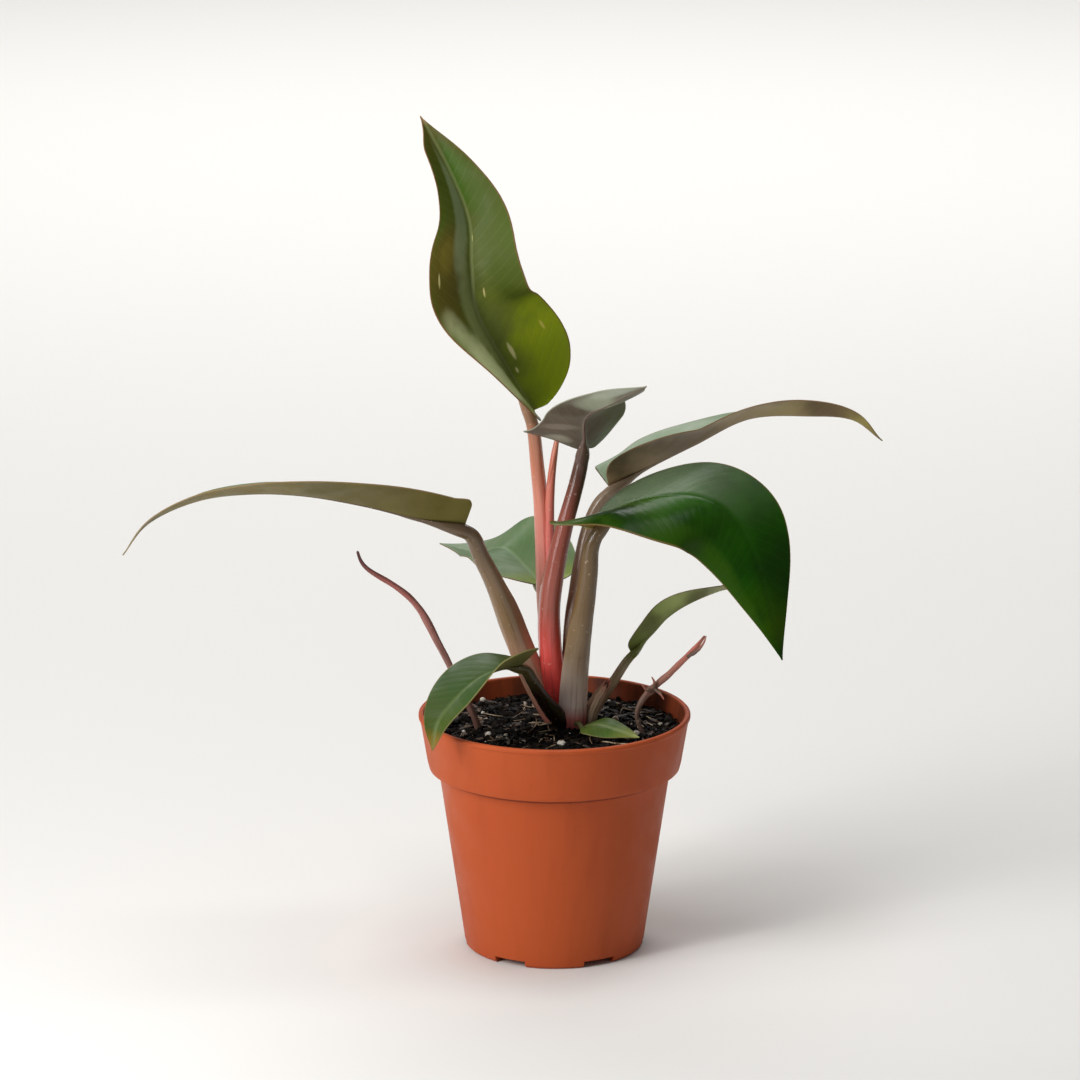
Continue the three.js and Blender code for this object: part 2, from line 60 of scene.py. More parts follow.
NECK_HEIGHT = 70.5 * MM
SHOULDER_STEP = 1.5 * MM
SHOULDER_RISE = 10 * MM
FOOT_RADIUS = 39.7 * MM
FOOT_WIDTH = 3 * MM
FOOT_ROUND = 1.2 * MM
FOOT_FLARE = 0.4 * MM
WALL = 1.4 * MM
FLOOR_UNDERSIDE = 3.4 * MM
FLOOR_TOP = 5 * MM
FLOOR_ROUND = 1.5 * MM
PAD_RADIUS = 12 * MM
POT_STEPS = 144
NOTCH_COUNT = 6
NOTCH_WIDTH = 15 * MM
NOTCH_HEIGHT = 3 * MM
DRAIN_COUNT = 6
DRAIN_RADIUS = 4 * MM
DRAIN_CIRCLE = 24 * MM
EDGE_SOFTNESS = 0.5 * MM
SOFT_ANGLE = 11
SHARP_ANGLE = 50
# Painted shade on the inner wall over the soil:
INNER_SHADE_BOTTOM = 97 * MM
INNER_SHADE_FADE = 1 * MM
INNER_SHADE_GAP = 0.1 * MM
INNER_SHADE_EDGE = 0.5 * MM
# Painted shadow under the rim band:
BAND_SHADOW_HALF_WIDTH = 0.35 * MM
DRIFT_SIZE = 60 * MM
FLOW_SIZE = 9 * MM
FLOW_DEPTH = 0.12 * MM
GLOSS_SIZE = 14 * MM
GRAIN_SIZE = 0.7 * MM
GRAIN_DEPTH = 0.05 * MM


def colour(code):
    """A colour for a shader, from the code of how it looks on a screen"""
    shares = [int(code[i:i + 2], 16) / 255 for i in (0, 2, 4)]
    return (*(share / 12.92 if share <= 0.04045 else ((share + 0.055) / 1.055) ** 2.4
              for share in shares), 1)


def new_material(name, roughness, specular=0.3):
    mat = bpy.data.materials.new(name)
    mat.use_nodes = True
    surface = mat.node_tree.nodes["Principled BSDF"]
    surface.inputs["Roughness"].default_value = roughness
    surface.inputs["Specular IOR Level"].default_value = specular
    return mat


def join(mat, value, socket):
    """Feeds a socket from another node's output, or sets it to a value"""
    if isinstance(value, bpy.types.NodeSocket):
        mat.node_tree.links.new(value, socket)
    else:
        socket.default_value = value


def add_node(mat, kind, inputs, **settings):
    made = mat.node_tree.nodes.new("ShaderNode" + kind)
    for name, value in settings.items():
        setattr(made, name, value)
    for key, value in inputs.items():
        join(mat, value, made.inputs[key])
    return made


def calc(mat, operation, *values):
    return add_node(mat, "Math", dict(enumerate(values)), operation=operation).outputs[0]


def spread(mat, value, low, high, to_low=0.0, to_high=1.0):
    """Smooth step of a value from one range to another"""
    inputs = {"Value": value, "From Min": low, "From Max": high, "To Min": to_low, "To Max": to_high}
    return add_node(mat, "MapRange", inputs, interpolation_type="SMOOTHSTEP").outputs[0]


def blend(mat, share, *shades):
    """Mixes two colours, each a code or another node's output"""
    first, second = (colour(shade) if isinstance(shade, str) else shade for shade in shades)
    inputs = {0: share, 6: first, 7: second}
    return add_node(mat, "Mix", inputs, data_type="RGBA").outputs[2]


def ramp(mat, value, stops):
    """Colour along a value, through (place, colour) stops"""
    made = add_node(mat, "ValToRGB", {"Fac": value})
    marks = made.color_ramp.elements
    while len(marks) < len(stops):
        marks.new(0.5)
    for mark, (place, shade) in zip(marks, stops):
        mark.position = place
        mark.color = colour(shade)
    return made.outputs["Color"]


def solid_place(mat, scale=(1, 1, 1)):
    """Place on the piece in metres, stretched by a scale"""
    source = add_node(mat, "TexCoord", {}).outputs["Object"]
    return add_node(mat, "Mapping", {"Vector": source, "Scale": scale}).outputs[0]


def mottle(mat, place, size, detail=3.0):
    """Soft random value round 0.5, with patches of about this size in metres"""
    inputs = {"Vector": place, "Scale": 1 / size, "Detail": detail}
    return add_node(mat, "TexNoise", inputs).outputs["Fac"]


def relief(mat, height, depth, below=None):
    """Bump of this depth in metres, laid over another bump"""
    inputs = {"Height": height, "Distance": depth, "Strength": 1.0}
    if below is not None:
        inputs["Normal"] = below
    return add_node(mat, "Bump", inputs).outputs[0]


def finish(mat, shade, roughness=None, normal=None):
    surface = mat.node_tree.nodes["Principled BSDF"]
    join(mat, shade, surface.inputs["Base Color"])
    if roughness is not None:
        join(mat, roughness, surface.inputs["Roughness"])
    if normal is not None:
        join(mat, normal, surface.inputs["Normal"])
    return mat


def bare_piece(name, bm, materials):
    mesh = bpy.data.meshes.new(name)
    bm.to_mesh(mesh)
    bm.free()
    for mat in materials:
        mesh.materials.append(mat)
    mesh.shade_smooth()
    piece = bpy.data.objects.new(name, mesh)
    bpy.context.scene.collection.objects.link(piece)
    return piece


def settle(piece):
    """Makes a piece's modifiers part of its mesh"""
    bpy.context.view_layer.update()
    seen = piece.evaluated_get(bpy.context.evaluated_depsgraph_get())
    mesh = bpy.data.meshes.new_from_object(seen)
    piece.modifiers.clear()
    piece.data = mesh


def show_edges(piece, angle):
    """Shades a piece smooth but for its edges over an angle in degrees"""
    piece.data.shade_smooth()
    piece.data.set_sharp_from_angle(angle=math.radians(angle))


def stand_for(piece, node):
    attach(piece, "root")
    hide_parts(node)


def turn_profile(bm, profile, steps):
    """Turns a line of (radius, height) points round the axis into a closed skin"""
    points = [bm.verts.new((radius, 0, height)) for radius, height in profile]
    line = [bm.edges.new(pair) for pair in zip(points, points[1:])]
    bmesh.ops.spin(bm, geom=points + line, axis=(0, 0, 1), cent=(0, 0, 0), steps=steps,
                   angle=2 * math.pi, use_merge=True)
    bmesh.ops.remove_doubles(bm, verts=bm.verts, dist=0.01 * MM)
    bmesh.ops.recalc_face_normals(bm, faces=bm.faces)


def inside_profile(inset):
    """Inside of the pot from the middle of its floor to the lip, moved off the wall"""
    face = WALL + inset
    return [
        (0, FLOOR_TOP + inset),
        (FOOT_RADIUS - FLOOR_ROUND / 2 - face, FLOOR_TOP + inset),
        (FOOT_RADIUS + FOOT_FLARE - face, FLOOR_TOP + FLOOR_ROUND + inset),
        (NECK_RADIUS - face, NECK_HEIGHT),
        (NECK_RADIUS + SHOULDER_STEP - face, NECK_HEIGHT + SHOULDER_RISE + WALL + inset),
        (BAND_BOTTOM_RADIUS + BAND_ROUND / 4 - face, BAND_BOTTOM + BAND_ROUND + inset),
        (BAND_TOP_RADIUS - face, POT_HEIGHT - LIP_ROUND),
    ]


def cutter(shape, turn):
    bmesh.ops.rotate(shape, verts=shape.verts, cent=(0, 0, 0), matrix=Matrix.Rotation(turn, 3, "Z"))
    return bare_piece("cutter", shape, [])


foot_inside = FOOT_RADIUS - FOOT_WIDTH
lip_underside = POT_HEIGHT - LIP_THICKNESS
pot_profile = [
    (0, 0),
    (PAD_RADIUS - FOOT_ROUND, 0),
    (PAD_RADIUS, FLOOR_UNDERSIDE),
    (foot_inside - FOOT_ROUND, FLOOR_UNDERSIDE),
    (foot_inside, 0),
    (FOOT_RADIUS - FOOT_ROUND, 0),
    (FOOT_RADIUS, FOOT_ROUND),
    (FOOT_RADIUS + FOOT_FLARE, FOOT_ROUND + NOTCH_HEIGHT),
    (NECK_RADIUS, NECK_HEIGHT),
    (NECK_RADIUS + SHOULDER_STEP, NECK_HEIGHT + SHOULDER_RISE),
    (BAND_BOTTOM_RADIUS, BAND_BOTTOM),
    (BAND_BOTTOM_RADIUS + BAND_ROUND / 4, BAND_BOTTOM + BAND_ROUND),
    (BAND_TOP_RADIUS, POT_HEIGHT - BAND_FALL),
    (BAND_TOP_RADIUS + LIP_ROUND, lip_underside - LIP_ROUND),
    (RIM_RADIUS, lip_underside),
    (RIM_RADIUS, POT_HEIGHT - LIP_ROUND),
    (RIM_RADIUS - LIP_ROUND, POT_HEIGHT),
    (BAND_TOP_RADIUS + LIP_ROUND - WALL, POT_HEIGHT),
    *reversed(inside_profile(0)),
]
plastic = new_material("terracotta_plastic", 0.5, 0.16)
pot_place = solid_place(plastic)
pot_drift = mottle(plastic, pot_place, DRIFT_SIZE)
pot_grain = mottle(plastic, pot_place, GRAIN_SIZE)
pot_flow = mottle(plastic, solid_place(plastic, (1, 1, 0.12)), FLOW_SIZE, 2.0)
pot_shade = blend(plastic, pot_drift, "aa4821", "b6552b")
pot_shade = blend(plastic, spread(plastic, pot_flow, 0.45, 0.8, 0, 0.3), pot_shade, "9a401f")
pot_x, pot_y, pot_z = add_node(plastic, "SeparateXYZ", {0: pot_place}).outputs
pot_out = calc(plastic, "SQRT", calc(plastic, "ADD", calc(plastic, "POWER", pot_x, 2.0),
                                     calc(plastic, "POWER", pot_y, 2.0)))
# Painted shade: the inner wall over the soil is darkened in mottled patches, where the plant shades it.
inner_shade_radius = BAND_TOP_RADIUS - WALL + INNER_SHADE_GAP
pot_inside = spread(plastic, pot_out, inner_shade_radius, inner_shade_radius + INNER_SHADE_EDGE, 1, 0)
pot_over_soil = spread(plastic, pot_z, INNER_SHADE_BOTTOM, INNER_SHADE_BOTTOM + INNER_SHADE_FADE)
pot_inner_shade = calc(plastic, "MULTIPLY", calc(plastic, "MULTIPLY", pot_inside, pot_over_soil),
                  spread(plastic, pot_flow, 0.3, 0.7, 0.5, 0.9))
pot_shade = blend(plastic, pot_inner_shade, pot_shade, "422418")
# Painted shadow: a thin dark line along the underside of the rim band, where it overhangs the body.
over_crease = calc(plastic, "SUBTRACT", pot_z, NECK_HEIGHT + SHOULDER_RISE)
pot_band_shadow = spread(plastic, calc(plastic, "ABSOLUTE", over_crease), BAND_SHADOW_HALF_WIDTH,
                    3 * BAND_SHADOW_HALF_WIDTH, 0.7, 0)
pot_shade = blend(plastic, pot_band_shadow, pot_shade, "682a16")
pot_bump = relief(plastic, pot_grain, GRAIN_DEPTH)
pot_bump = relief(plastic, pot_flow, FLOW_DEPTH, pot_bump)
pot_gloss = spread(plastic, mottle(plastic, pot_place, GLOSS_SIZE), 0.3, 0.7, 0.42, 0.58)
finish(plastic, pot_shade, pot_gloss, pot_bump)

pot_skin = bmesh.new()
turn_profile(pot_skin, pot_profile, POT_STEPS)
pot = bare_piece("nursery_pot", pot_skin, [plastic])
cutters = []
for i in range(NOTCH_COUNT):
    notch = bmesh.new()
    bmesh.ops.create_cube(notch, size=1)
    bmesh.ops.scale(notch, vec=(4 * FOOT_WIDTH, NOTCH_WIDTH, 2 * NOTCH_HEIGHT), verts=notch.verts)
    bmesh.ops.translate(notch, vec=(FOOT_RADIUS, 0, 0), verts=notch.verts)
    cutters.append(cutter(notch, 2 * math.pi * i / NOTCH_COUNT))
for i in range(DRAIN_COUNT):
    drain = bmesh.new()
    bmesh.ops.create_cone(drain, cap_ends=True, segments=32, radius1=DRAIN_RADIUS,
                          radius2=DRAIN_RADIUS, depth=3 * FLOOR_TOP)
    bmesh.ops.translate(drain, vec=(DRAIN_CIRCLE, 0, 0), verts=drain.verts)
    cutters.append(cutter(drain, 2 * math.pi * (i + 0.5) / DRAIN_COUNT))
for tool in cutters:
    cut = pot.modifiers.new("cut", "BOOLEAN")
    cut.operation = "DIFFERENCE"
    cut.object = tool
settle(pot)
for tool in cutters:
    bpy.data.objects.remove(tool)
soften = pot.modifiers.new("soften", "BEVEL")
soften.width = EDGE_SOFTNESS
soften.segments = 3
soften.limit_method = "ANGLE"
soften.angle_limit = math.radians(SOFT_ANGLE)
settle(pot)
show_edges(pot, SHARP_ANGLE)
stand_for(pot, "pot")


# Potting mix: moist black peat that fills the pot to 8 mm under its rim, with loose crumbs
# on top and a low mound round the stem.
SOIL_LEVEL = 98.6 * MM
SOIL_EDGE_DROP = 0.8 * MM
SOIL_RING = 1.2 * MM
SOIL_GAP = 0.3 * MM
SOIL_STEPS = 160
BROAD_WAVES = 0.6 * MM
FINE_WAVES = 0.4 * MM
LUMP_SIZE = 4 * MM
LUMP_HEIGHT = 0.9 * MM
LUMP_SINK = 0.6 * MM
STEM_FOOT = Vector((7, 9, 99)) * MM
MOUND_HEIGHT = 1.6 * MM
MOUND_SPREAD = 16 * MM
CRUMB_SEED = 4
CRUMB_REACH = 55.4 * MM
CRUMBS = dict(count=3600, reach=CRUMB_REACH, sizes=(0.35, 1.15, 3), rest=(-0.7, 0.9),
              form=((0.7, 0.9), (1, 0), (0.5, 0.5)))
CHUNKS = dict(count=420, reach=CRUMB_REACH - 2 * MM, sizes=(0.9, 1.3, 2), rest=(-0.12, 0.3),
              form=((0.9, 0.9), (0.8, 0), (0.4, 0.4)))


def add_piece(name, bm, mat, node):
    piece = bare_piece(name, bm, [mat])
    stand_for(piece, node)
    return piece


def soil_height(x, y):
    """Height of the loose soil: shallow waves, a mound round the stem and fine lumps"""
    from_stem = math.hypot(x - STEM_FOOT.x, y - STEM_FOOT.y)
    across, depth = x / MM, y / MM
    broad = BROAD_WAVES * math.sin(0.21 * across + 1) * math.cos(0.19 * depth)
    fine = FINE_WAVES * math.sin(0.47 * across + 0.39 * depth + 0.5)
    return SOIL_LEVEL + broad + fine + MOUND_HEIGHT * math.exp(-((from_stem / MOUND_SPREAD) ** 2))


def scatter_place(draw, reach):
    radius = reach * math.sqrt(draw.random())
    angle = 2 * math.pi * draw.random()
    return radius * math.cos(angle), radius * math.sin(angle)


def lump_shapes(draw, count, roughness, fineness=1):
    """A few different lumps of unit radius, for a scatter to copy"""
    shapes = []
    for _ in range(count):
        lump = bmesh.new()
        bmesh.ops.create_icosphere(lump, subdivisions=fineness, radius=1)
        for vert in lump.verts:
            vert.co *= 1 + roughness * (2 * draw.random() - 1)
        mesh = bpy.data.meshes.new("lump")
        lump.to_mesh(mesh)
        lump.free()
        shapes.append(mesh)
    return shapes


def place_copy(bm, draw, shapes, spot, form):
    """Adds a copy of one of the shapes, sized along its own axes and turned at random"""
    copy = draw.choice(shapes).copy()
    turn = Matrix.Rotation(2 * math.pi * draw.random(), 4, "Z")
    tip = Matrix.Rotation(math.pi * draw.random(), 4, "X")
    copy.transform(Matrix.Translation(spot) @ turn @ tip @ Matrix.Diagonal((*form, 1)))
    bm.from_mesh(copy)
    bpy.data.meshes.remove(copy)


def scatter(bm, draw, shapes, count, reach, sizes, rest, form):
    """Strews copies over the soil, measured in mm. sizes is the smallest size, what random
    adds to it and its power. rest is the lowest height over the soil and what random adds.
    form has the same pair for each of the copy's axes, as shares of its size."""
    smallest, added, power = sizes
    for _ in range(count):
        x, y = scatter_place(draw, reach)
        size = (smallest + added * draw.random() ** power) * MM
        spot = Vector((x, y, soil_height(x, y) + (rest[0] + rest[1] * draw.random()) * MM))
        shares = [low + more * draw.random() if more else low for low, more in form]
        place_copy(bm, draw, shapes, spot, [size * share for share in shares])


peat = new_material("potting_mix", 0.85, 0.12)
peat_place = solid_place(peat)
peat_shade = ramp(peat, mottle(peat, peat_place, 5 * MM, 6.0), [
    (0.3, "060504"), (0.5, "100c09"), (0.62, "221911"), (0.75, "443222"),
])
peat_bump = relief(peat, mottle(peat, peat_place, 0.8 * MM, 5.0), 0.5 * MM)
peat_damp = spread(peat, mottle(peat, peat_place, 9 * MM), 0.35, 0.65, 0.5, 0.95)
finish(peat, peat_shade, peat_damp, peat_bump)

soil_wall = inside_profile(SOIL_GAP)
(low_radius, low_height), (high_radius, high_height) = soil_wall[-2:]
soil_edge_height = SOIL_LEVEL - SOIL_EDGE_DROP
wall_slope = (high_radius - low_radius) / (high_height - low_height)
soil_edge = low_radius + wall_slope * (soil_edge_height - low_height)
ring_count = int(soil_edge / SOIL_RING)
soil_top = [(SOIL_RING * i, SOIL_LEVEL) for i in reversed(range(ring_count))]
soil_bm = bmesh.new()
turn_profile(soil_bm, soil_wall[:-1] + [(soil_edge, soil_edge_height)] + soil_top, SOIL_STEPS)
for vert in soil_bm.verts:
    if vert.co.z > soil_edge_height + 0.1 * MM:
        lumps = noise.fractal(vert.co / LUMP_SIZE, 0.8, 2.1, 4)
        vert.co.z = soil_height(vert.co.x, vert.co.y) + LUMP_HEIGHT * lumps - LUMP_SINK
draw = random.Random(CRUMB_SEED)
scatter(soil_bm, draw, lump_shapes(draw, 12, 0.35), **CRUMBS)
scatter(soil_bm, draw, lump_shapes(draw, 10, 0.22, 2), **CHUNKS)
soil = add_piece("peat_soil", soil_bm, peat, "soil")
show_edges(soil, SHARP_ANGLE)


# Bark: flat brown chips and shreds of bark, some of them tan. They lie in the top of the mix,
# each one a flattened lump that is drawn out along its grain.
BARK_COUNT = 130
BARK_REACH = CRUMB_REACH - 4 * MM
BARK_REST = 0.4 * MM
BARK_TILT = 0.5
BARK_THINNESS = 0.3
bark = new_material("bark_chips", 0.6, 0.35)
bark_place = solid_place(bark, (1, 4, 1))
bark_shade = ramp(bark, mottle(bark, bark_place, 2.5 * MM, 5.0), [
    (0.3, "18100b"), (0.5, "3a281c"), (0.7, "70543a"),
])
finish(bark, bark_shade, None, relief(bark, mottle(bark, bark_place, 0.8 * MM, 4.0), 0.25 * MM))
bark_bm = bmesh.new()
chips = lump_shapes(draw, 10, 0.3, 2)
for _ in range(BARK_COUNT):
    x, y = scatter_place(draw, BARK_REACH)
    size = (0.5 + 0.9 * draw.random()) * MM
    turn = Matrix.Rotation(2 * math.pi * draw.random(), 4, "Z")
    tilt = Matrix.Rotation(BARK_TILT * (draw.random() - 0.5), 4, "Y")
    form = Matrix.Diagonal((size * (1.6 + 2.4 * draw.random()), size, size * BARK_THINNESS, 1))
    chip = draw.choice(chips).copy()
    spot = Vector((x, y, soil_height(x, y) + BARK_REST))
    chip.transform(Matrix.Translation(spot) @ turn @ tilt @ form)
    bark_bm.from_mesh(chip)
    bpy.data.meshes.remove(chip)
bark_chips = add_piece("bark_chips", bark_bm, bark, "soil")
show_edges(bark_chips, SHARP_ANGLE)


# Perlite: puffed white mineral grains that are mixed through the peat, with a few showing. The
# big ones sit where the photograph shows them, and the small ones are strewn.
SMALL_GRAINS = dict(count=70, reach=52 * MM, sizes=(0.35, 1.1, 2.5), rest=(0.3, 0.3),
                    form=((1, 0), (0.75, 0.5), (0.8, 0)))
BIG_GRAINS = [(-32, 40, 1.5), (-29, -12.5, 1.7), (3, -25, 1.9), (27, 12, 1.6), (36, -11, 1.8),
              (-15, -38, 1.2), (-40, -8, 1.1), (20, 38, 1.2)]
BIG_GRAIN_FORM = Vector((1, 0.9, 0.8))
BIG_GRAIN_REST = 0.9 * MM
perlite = new_material("perlite", 0.9, 0.3)
perlite_place = solid_place(perlite)
perlite_stain = spread(perlite, mottle(perlite, perlite_place, 2.5 * MM), 0.4, 0.7)
perlite_shade = blend(perlite, perlite_stain, "d6d0c4", "806c54")
perlite_bump = relief(perlite, mottle(perlite, perlite_place, 0.5 * MM), 0.2 * MM)
finish(perlite, perlite_shade, None, perlite_bump)
perlite_bm = bmesh.new()
scatter(perlite_bm, draw, lump_shapes(draw, 8, 0.25), **SMALL_GRAINS)
round_grains = lump_shapes(draw, 4, 0.12, 3)
for across, depth, size in BIG_GRAINS:
    x, y = across * MM, depth * MM
    spot = Vector((x, y, soil_height(x, y) + BIG_GRAIN_REST))
    place_copy(perlite_bm, draw, round_grains, spot, size * MM * BIG_GRAIN_FORM)
add_piece("perlite_grains", perlite_bm, perlite, "soil")


# Leaves: each is a stalk that grows from the crown, and a leathery blade on a stout midrib.
# A blade is a sheet bent to its midrib and given its thickness, and the midrib under it
# runs on from the stalk.
BLADE_THICKNESS = 0.5 * MM
BLADE_ROWS = 132
BLADE_COLUMNS = 52
BLADE_SHARP_ANGLE = 60
ROW_SPREAD = 1.5
COLUMN_SPREAD = 1.25
TIP_HALF_WIDTH = 0.2 * MM
OUTLINE_START = 0.16
OUTLINE_SKEW = 0.7
LOBE_FALL = 5
SPUR_POINT = 1.4
SPUR_ROUND = 0.15
SPUR_FADE = 0.88
MARGIN_WAVES = 1.2
MARGIN_SHIFT = 0.8
VEIN_SPACING = 5.2 * MM
VEIN_LEAN = 0.75
VEIN_CURL = 7.0
VEIN_WIDTH = 0.16
VEIN_RELIEF = 0.025 * MM
FOLD_ROUND = 2 * MM
GROOVE_DEPTH = 0.35 * MM
GROOVE_WIDTH = 1.3 * MM
JOINT_DROP = 0.75
JOINT_LEAD = 1.2
STALK_RINGS = 90
STALK_SIDES = 36
LEAD_RINGS = 6
JOINT_WAIST = 0.06
RIB_RINGS = 90
RIB_END = 0.97
RIB_SHARE = 0.2
RIB_FALL = 0.09
RIB_DROP = 0.3
RIB_TAPER = 0.8
RIB_TIP = 0.05 * MM
RIB_SINK = 0.1 * MM
RIB_FLARE = 0.45
FLARE_ANGLE = 1.3
FLARE_WIDTH = 0.35
GROOVE_FADE = 0.7
SHEATH_FADE = 0.15
WING_ANGLE = 0.8
WING_WIDTH = 0.28
STALK_GROOVE = 0.08
SHEATH_GROOVE = 0.2
STALK_LUMPS = 0.03


class Route:
    """Smooth curve through points given in millimetres, read by the share of its length"""

    SPAN_STEPS = 40
    WINDOW = 0.05

    def __init__(self, points):
        knots = [Vector(point) * MM for point in points]
        ends = [2 * knots[0] - knots[1], *knots, 2 * knots[-1] - knots[-2]]
        self.points = []
        for a, b, c, d in zip(ends, ends[1:], ends[2:], ends[3:]):
            before, here, after = ((q - p).length ** 0.5 for p, q in ((a, b), (b, c), (c, d)))
            leave = ((b - a) / before - (c - a) / (before + here) + (c - b) / here) * here
            arrive = ((c - b) / here - (d - b) / (here + after) + (d - c) / after) * here
            for step in range(self.SPAN_STEPS):
                t = step / self.SPAN_STEPS
                self.points.append(
                    b * (2 * t**3 - 3 * t**2 + 1) + leave * (t**3 - 2 * t**2 + t)
                    + c * (3 * t**2 - 2 * t**3) + arrive * (t**3 - t**2)
                )
        self.points.append(knots[-1])
        self.reach = [0.0]
        for p, q in zip(self.points, self.points[1:]):
            self.reach.append(self.reach[-1] + (q - p).length)
        self.length = self.reach[-1]

    def at(self, share):
        goal = min(max(share, 0), 1) * self.length
        low, high = 0, len(self.reach) - 1
        while high - low > 1:
            middle = (low + high) // 2
            if self.reach[middle] <= goal:
                low = middle
            else:
                high = middle
        part = (goal - self.reach[low]) / (self.reach[high] - self.reach[low])
        return self.points[low].lerp(self.points[high], part)

    def ahead(self, share):
        return (self.at(share + self.WINDOW) - self.at(share - self.WINDOW)).normalized()


def along(values, share):
    """Value at a share between evenly spaced entries"""
    place = min(max(share, 0), 1) * (len(values) - 1)
    low = min(int(place), len(values) - 2)
    return values[low] + (values[low + 1] - values[low]) * (place - low)


def smooth(low, high, value):
    share = min(max((value - low) / (high - low), 0), 1)
    return share * share * (3 - 2 * share)


def hump(value, width):
    return math.exp(-((value / width) ** 2))


def outline(u):
    """Half width of a blade at u from base to tip, as a share of its widest"""
    return math.sin(math.pi * (OUTLINE_START + (1 - OUTLINE_START) * u**OUTLINE_SKEW))


def blade_axes(leaf, rib, u):
    """Directions of a blade at u: along the midrib, out of the upper side and to the right"""
    ahead = rib.ahead(u)
    first, middle, last = (Vector(face).normalized() for face in leaf["face"])
    up = first * (1 - u) * (1 - 2 * u) + middle * 4 * u * (1 - u) + last * u * (2 * u - 1)
    up = (up - ahead * up.dot(ahead)).normalized()
    return ahead, up, ahead.cross(up)


def half_width(leaf, side, u, length):
    """Half width of a blade in metres, with the corner at its base rounded off"""
    wide = leaf["half"][side] * outline(u) * MM
    for spur_side, place, reach, size in leaf.get("spurs", []):
        if spur_side == side:
            near = max(1 - math.hypot((u - place) / reach, SPUR_ROUND), 0)
            wide += size * MM * near**SPUR_POINT * smooth(1, SPUR_FADE, u)
    corner = leaf["corner"][side] * MM
    short = 1 - min(u * length / corner, 1)
    return max(wide - corner * (1 - math.sqrt(1 - short**2)), TIP_HALF_WIDTH)


def vein_wave(reach, across):
    """Place between side veins that leave the midrib and curl towards the tip"""
    return (reach - VEIN_LEAN * across - VEIN_CURL * across**2) / VEIN_SPACING


def blade_point(leaf, rib, u, place):
    """Point of a blade's sheet, with place from -1 at the left margin to 1 at the right"""
    side = int(place > 0)
    ahead, up, right = blade_axes(leaf, rib, u)
    wide = half_width(leaf, side, u, rib.length)
    share = abs(place)
    across = share * wide
    rise = math.radians(leaf["rise"][side])
    curl = leaf.get("lobe_curl", 0)
    lobe = (1 - u) ** LOBE_FALL * share**2 * (3 - 2 * share) * MM
    lobe *= 1 - curl * (1 - share)
    height, start = leaf["wave"]
    turn = 2 * math.pi * (MARGIN_WAVES * u + start) + (MARGIN_SHIFT if side else -MARGIN_SHIFT)
    lift = height * MM * share**2 * math.sin(math.pi * u) * math.sin(turn)
    folded = math.hypot(across, FOLD_ROUND) - FOLD_ROUND
    lift += folded * math.sin(rise) - leaf["sag"][side] * wide * share**2
    lift += leaf["lobe_rise"][side] * lobe
    lift -= GROOVE_DEPTH * hump(across, GROOVE_WIDTH) * (1 - u) ** GROOVE_FADE
    vein = math.cos(2 * math.pi * vein_wave(u * rib.length, across))
    lift -= VEIN_RELIEF * vein * smooth(0, 0.12, share) * smooth(1, 0.8, share)
    point = rib.at(u) + right * (across if side else -across) * math.cos(rise)
    return point + up * lift - ahead * leaf["lobe"][side] * lobe


def lay_grid(bm, rows, columns, layers, point_at):
    """Adds a grid. point_at(x, y), with both from -1 to 1, gives a vertex its place and then
    its UV in each of the layers."""
    made = bmesh.ops.create_grid(bm, x_segments=rows, y_segments=columns, size=1)
    places = {}
    for vert in made["verts"]:
        vert.co, *places[vert] = point_at(vert.co.x, vert.co.y)
    for face in {face for vert in made["verts"] for face in vert.link_faces}:
        for loop in face.loops:
            for layer, uv in zip(layers, places[loop.vert]):
                loop[layer].uv = uv
    return made["verts"]


def sweep(bm, centres, axes, section, sides):
    """Closed tube round a row of centres; section(share, angle) is its radius there. The
    angle is 0 on the tube's upper side."""
    uv = bm.loops.layers.uv.verify()

    def point_at(x, y):
        share = (x + 1) / 2
        ring = round(share * (len(centres) - 1))
        angle = math.pi * y
        up, right = axes[ring]
        out = (up * math.cos(angle) + right * math.sin(angle)) * section(share, angle)
        return centres[ring] + out, (share, angle / (2 * math.pi) + 0.5)

    verts = lay_grid(bm, len(centres) - 1, sides, [uv], point_at)
    bmesh.ops.remove_doubles(bm, verts=verts, dist=0.001 * MM)


def axes_at(centres, i, up):
    """Up and right of a tube at its ring i"""
    ahead = (centres[min(i + 1, len(centres) - 1)] - centres[max(i - 1, 0)]).normalized()
    up = (up - ahead * up.dot(ahead)).normalized()
    return up, ahead.cross(up)


def ring_axes(centres, up):
    """Up and right at each ring of a tube, carried back from its end without twist"""
    axes = []
    for i in reversed(range(len(centres))):
        axes.append(axes_at(centres, i, up))
        up = axes[-1][0]
    return axes[::-1]


def eased(points, rounds):
    """Points of a line with its bends eased and its ends kept"""
    for _ in range(rounds):
        inner = [(a + 2 * b + c) / 4 for a, b, c in zip(points, points[1:], points[2:])]
        points = [points[0], *inner, points[-1]]
    return points


def rib_radius(top, u):
    """Radius of the midrib at u, which thins fast from its stalk's radius"""
    share = RIB_SHARE + (1 - RIB_SHARE) * hump(u, RIB_FALL)
    return top * share * (1 - u) ** RIB_TAPER + RIB_TIP


def groove_floor(leaf, rib, u):
    """Point of the blade's sheet in the groove over the midrib, with the way up there"""
    _, up, _ = blade_axes(leaf, rib, u)
    return rib.at(u) - up * GROOVE_DEPTH * (1 - u) ** GROOVE_FADE, up


